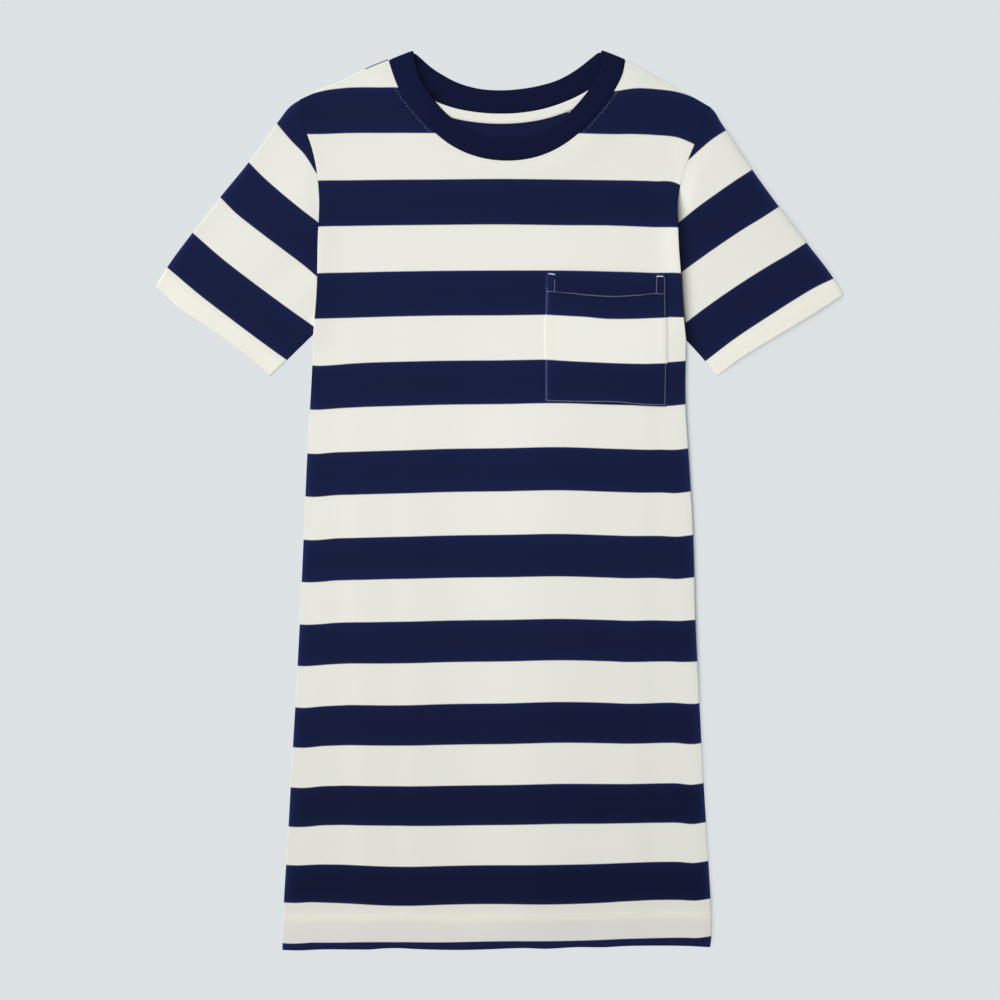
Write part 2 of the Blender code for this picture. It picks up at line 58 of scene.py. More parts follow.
# Cloth, in mm
WALL = 1.0  # one layer of jersey
HEMMED = 1.7  # where it is turned up and lies double
RIB = 2.0  # the neckband, folded double
SEAM_GAP = 0.05
LAYER_GAP = 0.3
LOFT = 0.3  # air under the front, away from its edges
LOFT_RISE = 24.0
EDGE_FALL = 0.85  # the wearer's left side falls towards its edge, most within EDGE_REACH of it
EDGE_REACH = 3.6
BODY_HEM = 40.0
CUFF_HEM = 20.0
BODY_STEP = 8.0  # over this length the body hem's extra layer comes in
CUFF_WALL = 1.25  # the cuffs' double cloth, pressed flat
CUFF_STEP = 6.0
TAPE_WIDE = 9.4
POCKET_HEM = 20.0

# Heights above the table, in mm
SLEEVE_INSIDE = 0.6
BAND_BACK_MID = RIB / 2
BAND_FRONT_SIDE = 3.8
BAND_FRONT_MIDDLE = 3.4
BAND_TURN = (BAND_FRONT_SIDE - BAND_BACK_MID) / 2
FOLD_REACH = BAND_TURN + RIB / 2
NECK_RISE = 1.4
NECK_LEVEL, NECK_FADE = 9.0, 22.0  # the rise holds this far from the neck's seam, then fades
# A rise or lift comes in over its FROM, in y, and goes over its TO
ARMHOLE_RISE = 0.9
ARMHOLE_RISE_FROM = (130.0, 200.0)
ARMHOLE_REACH = 14.0
UNDERARM_RISE = 1.3
UNDERARM_RISE_FROM, UNDERARM_RISE_TO = (150.0, 200.0), (260.0, 340.0)
UNDERARM_LIFT = 1.3  # the wearer's left lies higher still over its sleeve
UNDERARM_LIFT_FROM, UNDERARM_LIFT_TO = (165.0, 215.0), (270.0, 320.0)
UNDERARM_LIFT_REACH = 12.0
TUCK = 3.0  # the sleeves' roots reach this far under the body's lower armholes
TUCKED_TOP = 2.05
FLUSH_FROM = (0.44, 0.60)  # shares of an armhole over which the sleeve's root comes up to the front's edge
ROOT_UNDER = 0.2  # past them it reaches this far into the front's edge
ROOT_SUNK = {1: 0.2, -1: 0.12}  # and lies this far below the front's face, on the wearer's left and right
ROOT_REACH, ROOT_REACH_MORE = 9.0, 11.0  # a sleeve settles this far from its root, and more where it is flush

UNDERARM = 0.742  # share of the way from hem to shoulder at which the armholes start
SIDE_REACH = 0.2  # share of a body panel's width over which its sides bend the grid
FOLDS_REACH = 0.15  # share of a sleeve's width over which its folds bend the grid
CELL = 3.6  # the cloth's usual grid cell
STITCH_BELOW, STITCH_ABOVE = 6.0, 4.0  # finer cells reach this far from the hem's stitching
POCKET_SIZE = (120.0, 128.0)
POCKET_CELL, POCKET_EDGE_CELL = 2.2, 0.8  # the pocket's usual cell, and the cells at its edges
EDGE_IN = 0.2  # a wall's edges are rounded by this much, and by the next share of its thickness
EDGE_DOWN = 0.1
CUFF_LIP = 0.25  # the cuffs' rims stand out this far

# Outlines of the laid garment, in mm, as (x, y)
HEM = (
    (-228.4, -456.1), (-213.7, -456.5), (-188.0, -455.4), (-150.0, -455.4), (-136.0, -455.4), (-122.0, -454.2),
    (-106.0, -453.9), (-90.0, -454.8), (-68.0, -455.6), (-37.0, -455.9), (-12.0, -455.2), (13.0, -454.1),
    (26.0, -453.8), (50.0, -454.6), (64.0, -453.8), (78.0, -452.9), (112.0, -452.8), (129.0, -451.7),
    (165.0, -451.1), (200.0, -451.6), (221.4, -452.9),
)
SIDE_RIGHT = (
    (-228.4, -456.1), (-228.1, -438.0), (-225.7, -400.9), (-220.2, -334.9), (-214.1, -253.7),
    (-207.8, -173.9), (-202.0, -94.5), (-197.0, -18.0), (-191.1, 72.7), (-185.3, 147.1), (-182.9, 186.7),
)
SIDE_LEFT = (
    (221.4, -452.9), (222.5, -440.0), (220.5, -400.9), (215.4, -334.9), (209.0, -253.7), (203.3, -173.9),
    (197.9, -94.5), (194.4, -18.0), (190.0, 42.0), (187.9, 68.0), (184.9, 102.0),
    (183.4, 130.0), (183.2, 181.3),
)
ARMHOLE_RIGHT = (
    (-182.9, 186.7), (-178.6, 230.0), (-176.7, 275.0), (-174.8, 322.0), (-176.8, 346.0),
    (-181.3, 367.0), (-186.0, 381.0), (-191.2, 410.3),
)
ARMHOLE_LEFT = (
    (183.2, 181.3), (180.3, 203.0), (176.6, 246.0), (174.3, 270.0), (172.9, 294.0), (172.4, 311.0),
    (174.9, 330.0), (181.8, 354.0), (188.3, 370.0), (202.6, 402.9),
)
SHOULDER_RIGHT = (
    (-191.2, 410.3), (-175.7, 417.4), (-156.4, 424.8), (-143.0, 430.6), (-125.7, 439.0), (-105.9, 446.8),
)
SHOULDER_LEFT = ((202.6, 402.9), (189.1, 410.7), (178.0, 416.9), (153.3, 430.7), (130.7, 442.5), (120.0, 447.4))
BACK_SHOULDERS_OUT = (1.4, 0.3)  # the back shows past the front's shoulders, right and left
BACK_ARMHOLE_OUT = 5.0

# The neckband: its shoulder folds, seams and free edges
FOLD_RIGHT = ((-105.6, 446.8), (-82.6, 455.7))
FOLD_LEFT = ((119.7, 447.5), (97.3, 456.1))
FOLDS = ((FOLD_RIGHT, -1), (FOLD_LEFT, 1))
FRONT_SEAM = (
    (-102.7, 437.2), (-96.2, 420.7), (-80.0, 399.2), (-62.3, 379.9), (-47.7, 368.6), (-18.9, 356.4),
    (0.4, 353.5), (19.7, 353.9), (38.9, 357.9), (58.2, 366.5), (75.6, 378.9), (93.5, 398.0),
    (109.4, 418.3), (117.4, 434.8),
)
FRONT_FREE = (
    (-79.5, 441.9), (-75.9, 430.1), (-69.9, 419.5), (-61.4, 408.4), (-49.5, 396.2), (-38.4, 388.3),
    (-25.6, 381.7), (-11.3, 377.0), (0.4, 375.2), (12.6, 375.1), (28.6, 377.2), (44.4, 381.9),
    (57.0, 389.6), (73.1, 404.7), (84.0, 417.6), (93.1, 430.0), (97.3, 440.7),
)
BACK_SEAM = (
    (-97.5, 435.5), (-84.0, 422.5), (-67.0, 411.6), (-47.5, 403.9), (-18.8, 398.5), (0.4, 397.5),
    (19.6, 398.3), (38.8, 401.2), (57.9, 406.7), (70.1, 411.6), (83.2, 418.3), (98.0, 427.5), (111.5, 438.0),
)
BACK_FREE = (
    (-80.2, 452.7), (-75.9, 449.4), (-68.3, 442.7), (-60.7, 437.1), (-53.1, 432.7), (-47.4, 429.5),
    (-18.7, 420.5), (0.4, 419.2), (19.5, 420.4), (38.7, 423.6), (57.7, 429.5), (69.9, 436.0), (79.0, 442.2),
    (85.0, 446.9), (89.1, 450.1), (92.8, 452.9), (94.8, 453.9),
)

# Sleeves: outer fold, cuff and underarm fold
OUTER_RIGHT = (
    (-191.2, 410.3), (-199.2, 405.4), (-214.2, 388.1), (-242.3, 351.6), (-270.4, 319.1),
    (-298.5, 285.1), (-323.7, 252.8), (-336.3, 233.4),
)
OUTER_LEFT = (
    (202.6, 402.9), (205.2, 400.5), (213.0, 388.6), (218.0, 381.6), (243.8, 345.1), (270.1, 310.7),
    (298.3, 276.0), (325.5, 242.1), (336.4, 225.4),
)
CUFF_RIGHT = (
    (-225.6, 146.0), (-243.2, 161.0), (-264.6, 178.0), (-287.1, 193.7), (-313.5, 212.0), (-336.3, 233.4),
)
CUFF_LEFT = ((215.0, 145.8), (235.1, 161.4), (262.8, 179.2), (290.5, 196.0), (318.1, 213.2), (336.4, 225.4))
UNDER_RIGHT = ((-183.2, 186.7), (-208.9, 162.2), (-225.6, 146.0))
UNDER_LEFT = ((183.5, 181.3), (200.0, 163.6), (215.0, 145.8))

# The pocket: its edges, then its stitching
POCKET_MOUTH = ((44.6, 247.2), (62.0, 248.4), (84.0, 248.2), (114.5, 247.2), (140.0, 246.8), (162.6, 245.0))
POCKET_BOTTOM = ((44.4, 120.4), (81.5, 119.8), (115.8, 119.2), (142.7, 117.0), (165.0, 116.2))
POCKET_INNER = ((44.4, 120.4), (44.3, 180.0), (44.6, 247.2))
POCKET_OUTER = ((165.0, 116.2), (165.4, 165.0), (163.8, 215.0), (162.6, 245.0))
POCKET_STITCH_INNER = ((46.6, 232.5), (46.5, 228.5), (45.8, 205.0), (46.0, 165.0), (46.2, 122.4))
POCKET_STITCH_BOTTOM = ((46.2, 122.4), (81.5, 121.6), (115.8, 121.1), (142.7, 118.6), (163.1, 118.0))
POCKET_STITCH_OUTER = ((163.1, 118.0), (163.0, 165.0), (161.8, 205.0), (160.6, 243.4))
POCKET_STITCH_HEM = (
    (45.7, 228.9), (66.8, 227.3), (86.9, 225.2), (108.2, 223.9), (133.6, 224.9), (153.2, 226.6), (160.7, 225.8),
)
POCKET_STITCH_TURNS = (((53.7, 240.0), (53.5, 228.8)), ((153.2, 243.0), (153.0, 226.8)))
BARTACKS = (((47.8, 245.8), (54.4, 244.9)), ((153.2, 243.4), (160.0, 243.2)))

# How the front rises and falls across its width, in mm
FRONT_STEPS = (
    # x_from, x_to, rise
    (-167.0, -139.0, 1.1),
    (-139.0, -106.0, -0.3),
    (-106.0, -90.0, 0.37),
    (-90.0, -50.0, -0.55),
    (-50.0, 52.0, 4.0),
    (56.0, 124.0, -1.1),
    (124.0, 138.0, -0.15),
    (138.0, 164.0, -1.05),
    (164.0, 182.0, -0.15),
)
STEPS_HEM = (-455.0, -395.0)
STEPS_CHEST = (60.0, 300.0)

# Soft creases, as troughs (below 0) and ridges (above 0) along short lines
FRONT_CREASES = (
    # x_from, y_from, x_to, y_to, half width, height
    (160.0, 376.0, 174.0, 330.0, 6.0, -0.5),
    (-176.0, 372.0, -166.0, 338.0, 7.0, -0.2),
    (-112.0, -418.0, -97.0, -408.0, 2.2, -0.12),
    (4.0, -404.0, 20.0, -409.0, 2.2, -0.12),
)
BACK_CREASES = (
    (-150.0, 210.0, -70.0, 140.0, 16.0, 0.5),
    (150.0, 215.0, 80.0, 150.0, 16.0, 0.5),
)

SLEEVE_CELLS = 72  # across each of a sleeve's layers
SLEEVE_ROLL = 0.85  # the wearer's left sleeve rolls down to its outer fold
FOLD_TURNS = (60, 30, 0, -30, -60)  # degrees round a sleeve's folded edge, from above to below
SLEEVE_RIDGES = (
    # at_root, at_cuff, high, half
    (0.60, 0.62, 1.6, 62.0),
    (0.25, 0.30, 0.9, 34.0),
)

# Stripes, in mm. Stripe edges count from the top of the first navy stripe: 0 to 1 is navy, 1 to 2 cream.
FIRST_NAVY_TOP = 423.15
NAVY_WIDE = 43.33
CREAM_WIDE = 43.65
STRIPE = (NAVY_WIDE + CREAM_WIDE) / 2
BACK_LOWER = 23.0  # the back's stripes lie this much lower than the front's, and more at the shoulders
BACK_SHOULDER_LOWER = 3.5
BEND_X = (-200, -185, -170, -150, -110, -60, 0, 60, 110, 130, 150, 170, 185, 200)
BEND = (
    # y, then how far the stripes there lie above their straight lines at each of BEND_X
    (-446, (0.7, -0.2, -0.6, -0.2, 0.0, -0.3, 1.0, 1.3, 2.8, 3.8, 4.3, 4.9, 5.0, 5.2)),
    (-400, (1.4, -0.1, -1.2, -2.1, -4.5, -3.2, -1.4, -0.8, 0.8, 2.1, 3.0, 3.3, 3.2, 2.8)),
    (-320, (-2.3, -2.0, -2.3, -2.4, -2.9, -3.1, -1.5, 0.5, 0.5, 0.8, 1.0, 0.9, 0.8, -0.4)),
    (-190, (-4.5, -3.8, -4.0, -3.6, -4.0, -2.8, -1.4, 0.8, -0.4, -1.3, -1.2, -0.8, -0.9, -3.1)),
    (-60, (-4.3, -4.0, -3.8, -3.9, -3.1, -2.0, -0.8, 0.5, -1.0, -1.7, -1.5, -2.3, -2.3, -2.9)),
    (70, (-3.7, -3.9, -3.2, -3.7, -3.0, -1.4, -0.3, 1.1, -0.6, -1.2, -1.9, -1.6, -2.3, -2.2)),
    (200, (-3.8, -3.8, -3.5, -3.0, -1.8, -0.8, -0.5, 0.1, -1.4, -1.7, -2.4, -2.1, -2.5, -2.5)),
    (293, (-2.6, -2.7, -1.8, -1.5, -0.9, -0.4, 0.0, -0.7, -1.1, -1.8, -2.6, -2.8, -4.0, -5.0)),
    (336, (-1.6, -1.9, -1.4, -1.3, -0.8, -0.5, -0.1, -0.6, -1.2, -1.5, -2.1, -3.7, -14.0, -24.0)),
    (380, (-1.9, -1.8, -1.7, -0.9, -0.7, -0.9, -0.2, -0.8, -1.9, -1.8, -2.7, -4.7, -9.2, -14.0)),
    (420, (-18.1, -10.1, -5.0, -2.1, -1.6, -1.8, -1.3, -1.6, -5.2, -2.4, -3.1, -5.7, -10.5, -18.9)),
)
CURL_RIGHT = ((0, 3, 10, 20, 34, 55), (1.9, 2.2, 2.5, 2.1, 0.9, 0.0))  # distance from the side, drop
CURL_LEFT = ((0, 6, 14, 30, 55), (-1.8, -0.9, 0.2, -0.1, 0.0))

# Edges of the sleeves' stripes, each from the outer fold inwards, starting with the cap's navy
SLEEVE_STRIPES = {
    "sleeve_right": (
        ((-213.6, 387.6), (-201.0, 372.6), (-187.6, 358.6), (-176.9, 341.4)),
        ((-241.3, 351.5), (-229.3, 339.2), (-216.6, 327.8), (-203.4, 316.8), (-190.1, 306.1), (-176.4, 295.7)),
        (
            (-269.8, 318.2), (-256.0, 304.0), (-240.5, 291.6), (-224.8, 279.6),
            (-209.0, 267.7), (-193.2, 255.7), (-178.0, 243.0),
        ),
        ((-297.7, 284.7), (-270.1, 260.6), (-241.2, 238.1), (-211.8, 216.1), (-181.9, 194.6)),
        ((-324.0, 251.7), (-296.3, 228.0), (-267.7, 205.5), (-238.7, 183.3), (-224.1, 172.3), (-209.3, 161.6)),
    ),
    "sleeve_left": (
        ((217.2, 381.5), (205.1, 373.8), (194.1, 364.7), (183.4, 354.9)),
        ((243.3, 344.8), (225.4, 333.3), (207.9, 321.2), (190.7, 308.8), (174.2, 295.3)),
        ((269.7, 309.1), (254.4, 299.2), (238.6, 289.7), (208.1, 269.4), (178.4, 248.0)),
        ((297.4, 275.2), (280.7, 264.5), (263.5, 254.5), (230.1, 233.3), (197.8, 210.4), (182.2, 198.2)),
        ((325.5, 240.9), (308.7, 232.9), (292.8, 223.6), (262.0, 203.8), (231.6, 183.3), (202.7, 160.7)),
    ),
}
# The body's edge shades the sleeve beside it, up to the first height and, fading, to the second
SHADED_TO = {"sleeve_right": (-900.0, -800.0), "sleeve_left": (300.0, 332.0)}
# The painted shade and sheen of each sleeve's outer fold and cuff, counted as for the panels' outlines
SLEEVE_EDGES = {"sleeve_right": (-0.9, 0.0), "sleeve_left": (0.6, 0.2)}
# Which way the stripes follow each other down each sleeve
SLEEVE_DOWN = {"sleeve_right": (-0.652, -0.758), "sleeve_left": (0.586, -0.810)}
# The pocket's stripe edges, from edge 4 at its mouth to edge 7 at its bottom
POCKET_STRIPES = (
    ((44.6, 246.8), (64.3, 248.4), (83.9, 248.3), (123.3, 247.2), (142.9, 246.4), (162.6, 244.1)),
    ((45.5, 206.1), (64.9, 205.0), (84.4, 203.9), (103.8, 202.1), (123.2, 201.9), (162.1, 203.3)),
    ((45.7, 162.6), (65.2, 161.3), (84.8, 160.3), (123.8, 158.7), (143.4, 158.4), (162.9, 158.9)),
    ((44.4, 120.8), (64.5, 120.2), (104.7, 120.1), (124.8, 119.1), (144.9, 116.8), (165.0, 116.1)),
)

FLOOR_BELOW = 0.0003  # in metres, so that the cloth's underside stays clear of it
SHADOW_OUT = (-1.5, 0.0, 1.0, 2.0, 3.0, 4.5, 6.5, 9.0)  # columns of the floor's shadows, out from an edge
# How dark the floor is beside the wearer's left side, outer fold and cuff, at each height
SIDE_SHADOW = (
    (-456.0, 0.2), (-420.0, 0.3), (-400.0, 0.6), (-370.0, 0.3), (-345.0, 0.2), (-249.0, 0.28), (-184.0, 0.5),
    (-121.0, 1.0), (150.0, 1.0), (172.0, 0.9), (183.0, 0.7),
)
FOLD_SHADOW = ((200.0, 0.0), (250.0, 0.3), (385.0, 0.3), (403.0, 0.0))
CUFF_SHADOW = ((146.0, 0.0), (160.0, 0.25), (215.0, 0.4), (226.0, 0.2))

# Stitching, in mm
NECK_STITCH_OUT = 3.0  # from the neckband's seam
HEM_STITCHES = (35.0, 40.0)  # two needle rows, up from the fold
CUFF_STITCHES = (15.5, 19.0)
# Rows of stitches: pitch, length and height over the cloth, and thickness as a multiple of the thread's
NECK_ROW = (2.8, 1.3, 0.0, 1.0)
POCKET_EDGE_ROW = (2.4, 1.15, 0.1, 1.3)
POCKET_ROW = (2.35, 1.25, 0.12, 1.4)
BARTACK_ROW = (1.25, 1.6, 0.15, 1.3)
HEM_ROW = (3.0, 2.2, -0.2, 1.0)
CUFF_ROW = (3.0, 2.2, -0.15, 1.0)
BARTACK_LINES = (-0.35, 0.0, 0.35)
ZIGZAG_OUT = 0.2  # the zigzag's stitches lie this far to each side
ZIGZAG_TURN = 0.45

# Knit, tape and thread, in mm
WALE, COURSE = 0.9, 0.75  # one column and one row of the jersey's knit
TWILL_PITCH = 0.9
NEEDLE_IN = 1.4  # the tape's needle lines, from its edges
PLY_PITCH = 0.0004  # in metres

# How far the jersey's painted shade and sheen reach from an edge, in mm
SOFT_REACH = 4.5  # over the cream, from an edge that darkens softly
CRISP_REACH = 1.1  # over the cream, at an edge's very rim
NAVY_REACH = 2.7
HEM_SHADE_TO = 31.5  # painted shade: the cream over the turned-up hem is darker and greyer, up to this far from its fold

# Tones: the pocket's cream beside the front's, cream beside an armhole, and rib under the front
POCKET_LIGHTER = 1.035
ARMHOLE_SHADE = (0.012, 0.010, 0.014, 1.0)
NECK_SHADE = (0.0012, 0.0016, 0.004, 1.0)

# Cut sizes of what shows, in metres and square metres, without seams and turned-up hems
CUTS = {
    # piece: (width, length, area)
    "front_cloth": (0.451, 0.905, 0.338),
    "back_cloth": (0.451, 0.905, 0.3465),
    "sleeve_right_cloth": (0.296, 0.229, 0.0463),
    "sleeve_left_cloth": (0.297, 0.222, 0.0444),
    "neckband_rib": (0.530, 0.0236, 0.0119),
    "neck_tape_twill": (0.240, 0.010, 0.0024),
    "pocket_cloth": (0.121, 0.131, 0.0156),
}


# Lines and patches in plan


def between(t, width, values, slopes, cell):
    """A smooth curve inside a table's cells, from their ends' values and slopes. t runs from 0 to 1."""
    return (
        (2 * t**3 - 3 * t**2 + 1) * values[cell]
        + (t**3 - 2 * t**2 + t) * width * slopes[cell]
        + (3 * t**2 - 2 * t**3) * values[cell + 1]
        + (t**3 - t**2) * width * slopes[cell + 1]
    )


def line_through(points):
    """A smooth line through the points, as a function of the share of its length."""
    p = np.array(points, float)
    gaps = np.linalg.norm(np.diff(p, axis=0), axis=1)
    knots = np.concatenate([[0.0], np.cumsum(gaps)])
    slopes = np.gradient(p, knots, axis=0) if len(p) > 2 else np.repeat(np.diff(p, axis=0) / gaps, 2, 0)
    fine = np.linspace(0.0, knots[-1], 24 * len(p))
    cell = np.clip(np.searchsorted(knots, fine, side="right") - 1, 0, len(p) - 2)
    width = gaps[cell][:, None]
    t = ((fine - knots[cell]) / gaps[cell])[:, None]
    dense = between(t, width, p, slopes, cell)
    return function_of(dense, arc_shares(dense))


def arc_shares(dense):
    """How far along a line each of its points is, from 0 to 1."""
    run = np.concatenate([[0.0], np.cumsum(np.linalg.norm(np.diff(dense, axis=0), axis=1))])
    return run / run[-1]


def arc_length(line):
    dense = line(np.linspace(0.0, 1.0, 500))
    return np.linalg.norm(np.diff(dense, axis=0), axis=1).sum()


def function_of(dense, shares):
    """A line of close points as a function of the share along it."""

    def at(t):
        return np.stack([np.interp(t, shares, dense[:, 0]), np.interp(t, shares, dense[:, 1])], axis=-1)

    return at


def by_axis(line, axis):
    """The same line, as a function of the share of its run along x (0) or y (1)."""
    dense = line(np.linspace(0.0, 1.0, 600))
    along = dense[:, axis]
    shares = (along - along[0]) / (along[-1] - along[0])
    return function_of(dense, np.maximum.accumulate(shares))


def joined(*lines):
    """One line out of several that follow each other."""
    dense = np.concatenate([line(np.linspace(0.0, 1.0, 300)) for line in lines])
    return function_of(dense, arc_shares(dense))


def units(vectors):
    """Rows of vectors, each made 1 long."""
    return vectors / np.linalg.norm(vectors, axis=1)[:, None]


def to_the_left(ahead):
    """Rows of directions in plan, each turned a quarter to the left."""
    return np.stack([-ahead[:, 1], ahead[:, 0]], axis=1)


def moved_out(line, distance):
    """The line moved to the left of its own direction, each point with the share that it had."""
    shares = np.linspace(0.0, 1.0, 500)
    dense = line(shares)
    left = to_the_left(units(np.gradient(dense, axis=0)))
    distance = np.broadcast_to(distance(shares) if callable(distance) else distance, shares.shape)
    return function_of(dense + distance[:, None] * left, shares)


def patch(low, high, start, end, reach=1.0):
    """Points in plan between four lines: low and high run across, start and end run up."""

    def at(u, v):
        across, up = np.asarray(u)[..., None], np.asarray(v)[..., None]

        def straight(share):
            return (1 - up) * low(share) + up * high(share)

        near_start = np.clip(1 - across / reach, 0.0, 1.0)
        near_end = np.clip(1 - (1 - across) / reach, 0.0, 1.0)
        bent = near_start * (start(v) - straight(0.0)) + near_end * (end(v) - straight(1.0))
        return straight(u) + bent

    return at


def graded(length, step, first, last):
    """Stations over a length, as shares: the cells grow from first to step, and shrink to last."""

    def ramp(cell):
        cells = []
        while cell < step:
            cells.append(cell)
            cell *= 1.45
        return cells

    start, end = ramp(first), ramp(last)[::-1]
    middle = max(length - sum(start) - sum(end), step)
    count = max(round(middle / step), 1)
    cells = np.array([*start, *[middle / count] * count, *end])
    stations = np.concatenate([[0.0], np.cumsum(cells)])
    return stations / stations[-1]


def soft_step(value, start, end):
    """0 before start, 1 after end, smooth between."""
    t = np.clip((value - start) / (end - start), 0.0, 1.0)
    return t * t * (3 - 2 * t)


def smooth_through(value, knots, heights):
    """A smooth curve through a table's points, level beyond its ends."""
    knots, heights = np.array(knots, float), np.array(heights, float)
    slopes = np.gradient(heights, knots) if len(knots) > 2 else np.diff(heights).repeat(2) / np.diff(knots)
    value = np.clip(value, knots[0], knots[-1])
    cell = np.clip(np.searchsorted(knots, value, side="right") - 1, 0, len(knots) - 2)
    width = knots[cell + 1] - knots[cell]
    t = (value - knots[cell]) / width
    return between(t, width, heights, slopes, cell)


def from_table(value, table):
    """A table's second column at values of its first."""
    return np.interp(value, *np.array(table).T)


def hump(offset, half):
    """A soft hump 1 high, reaching half to each side."""
    return np.cos(np.clip(offset / half, -1.0, 1.0) * math.pi / 2) ** 2


def distance_to(plan, line, count=160):
    """How far each point in plan is from a line."""
    dense = line(np.linspace(0.0, 1.0, count))
    flat = plan.reshape(-1, 2)
    found = [
        np.sqrt(((part[:, None, :] - dense) ** 2).sum(-1)).min(-1)
        for part in np.array_split(flat, max(1, len(flat) // 4000))
    ]
    return np.concatenate(found).reshape(plan.shape[:-1])


def creased(plan, creases):
    """Height that the creases of a table add."""
    height = np.zeros(plan.shape[:-1])
    for x_from, y_from, x_to, y_to, half, rise in creases:
        start, run = np.array([x_from, y_from]), np.array([x_to - x_from, y_to - y_from])
        share = ((plan - start) @ run) / (run @ run)
        nearest = start + np.clip(share, 0.0, 1.0)[..., None] * run
        away = np.linalg.norm(plan - nearest, axis=-1)
        height += rise * np.exp(-((away / half) ** 2)) * np.sin(math.pi * np.clip(share, 0.1, 0.9)) ** 0.5
    return height


def with_height(plan, height):
    return np.concatenate([plan, np.asarray(height)[..., None]], axis=-1)


def unit(vector):
    return np.array(vector) / np.linalg.norm(vector)


# Lines that several pieces share

front_seam = line_through((FOLD_RIGHT[0], *FRONT_SEAM, FOLD_LEFT[0]))
back_seam = line_through((FOLD_RIGHT[0], *BACK_SEAM, FOLD_LEFT[0]))
armhole_right = line_through(ARMHOLE_RIGHT)
armhole_left = line_through(ARMHOLE_LEFT)
side_right = line_through(SIDE_RIGHT)
side_left = line_through(SIDE_LEFT)
shoulder_right = line_through(SHOULDER_RIGHT)
shoulder_left = line_through(SHOULDER_LEFT)
hem = by_axis(line_through(HEM), 0)


# The panels' outlines and the painted shade each gives the cream: soft (above 0), only at its very edge (below
# 0) or none (0); any but 0 also gives the navy a painted sheen
FRONT_EDGES = (
    (side_right, -0.8), (side_left, 0.05), (shoulder_right, -0.8), (shoulder_left, 0.55),
    (armhole_right, 0.0), (armhole_left, 0.0),
)
BACK_EDGES = ((shoulder_right, -0.4), (shoulder_left, 0.4))


def cloth_sizes():
    """The sizes that a user may change."""
    return bpy.context.scene.dress_cloth


# Stripes


def units_down(down, edges, first):
    """Which stripe each point lies in, from its distance down and the stripes' edges there."""
    units = first + (down - edges[0]) / STRIPE
    for count, (upper, lower) in enumerate(zip(edges, edges[1:])):
        units = np.where(down > upper, first + count + (down - upper) / (lower - upper), units)
    beyond = first + len(edges) - 1 + (down - edges[-1]) / STRIPE
    return np.where(down > edges[-1], beyond, units)


def stripe_bend(plan):
    """How far the front's stripes lie above their straight lines."""
    x, y = plan[..., 0], plan[..., 1]
    heights = np.array([row[0] for row in BEND], float)
    values = np.stack([smooth_through(x, BEND_X, row[1]) for row in BEND])
    place = np.interp(y, heights, np.arange(len(heights)))
    low = np.clip(place.astype(int), 0, len(heights) - 2)
    part = place - low
    lower = np.take_along_axis(values, low[None], 0)[0]
    upper = np.take_along_axis(values, low[None] + 1, 0)[0]
    bend = lower + (upper - lower) * part
    from_right = x - from_table(y, np.array(SIDE_RIGHT)[:, ::-1])
    from_left = from_table(y, np.array(SIDE_LEFT)[:, ::-1]) - x
    curl = smooth_through(from_right, *CURL_RIGHT) + smooth_through(from_left, *CURL_LEFT)
    return bend - curl * (1 - soft_step(y, 150.0, 190.0))


def body_stripes(plan, lower=0.0):
    """Cloth coordinates of a body panel: along a course and down the stripes, in stripe widths."""
    raised = plan[..., 1] + lower
    down = FIRST_NAVY_TOP - (raised - stripe_bend(plan))
    pitch = NAVY_WIDE + CREAM_WIDE
    whole = np.floor(down / pitch)
    rest = down - whole * pitch
    part = np.where(rest < NAVY_WIDE, rest / NAVY_WIDE, 1 + (rest - NAVY_WIDE) / CREAM_WIDE)
    return np.stack([plan[..., 0] / STRIPE, 2 * whole + part], axis=-1)


def sleeve_stripes(plan, name):
    """Cloth coordinates of a sleeve."""
    down_way = np.array(SLEEVE_DOWN[name])
    along_way = np.array([-down_way[1], down_way[0]])
    along, down = plan @ along_way, plan @ down_way
    edges = []
    for points in SLEEVE_STRIPES[name]:
        points = np.array(points)
        order = np.argsort(points @ along_way)
        edges.append(smooth_through(along, (points @ along_way)[order], (points @ down_way)[order]))
    units = units_down(down, edges, 1.0)
    return np.stack([along / STRIPE, np.maximum(units, 0.02)], axis=-1)


def pocket_stripes(plan):
    """Cloth coordinates of the pocket."""
    edges = [-smooth_through(plan[..., 0], *np.array(points).T) for points in POCKET_STRIPES]
    units = units_down(-plan[..., 1], edges, 4.0)
    return np.stack([plan[..., 0] / STRIPE, np.clip(units, 4.02, 6.98)], axis=-1)


# Shapes


def hemmed_wall(plan):
    """Thickness of a body panel: double below the hem's stitching."""
    sizes = cloth_sizes()
    wall, deep = sizes.wall / MM, sizes.hem_depth / MM
    return wall + (HEMMED - WALL) * (1 - soft_step(hem_depth(plan), deep - BODY_STEP, deep + BODY_STEP))


def hem_depth(plan):
    """How far up from the body's lower edge each point lies."""
    return plan[..., 1] - from_table(plan[..., 0], HEM)


def loft(plan, steps):
    """How far the front's steps lift it, less towards the hem and the shoulders."""
    y = plan[..., 1]
    along = soft_step(y, *STEPS_HEM) * (1 - soft_step(y, *STEPS_CHEST))
    return LOFT + steps * along


def side_lift(plan):
    """How far both layers stand off the table at the wearer's left side."""
    whole = loft(plan, sum(rise for _, _, rise in FRONT_STEPS))
    clear = soft_step(distance_to(plan, armhole_left), 0.0, LOFT_RISE)
    return np.maximum(whole * clear - EDGE_FALL, 0.0) * np.exp(-distance_to(plan, side_left) / 8.0)


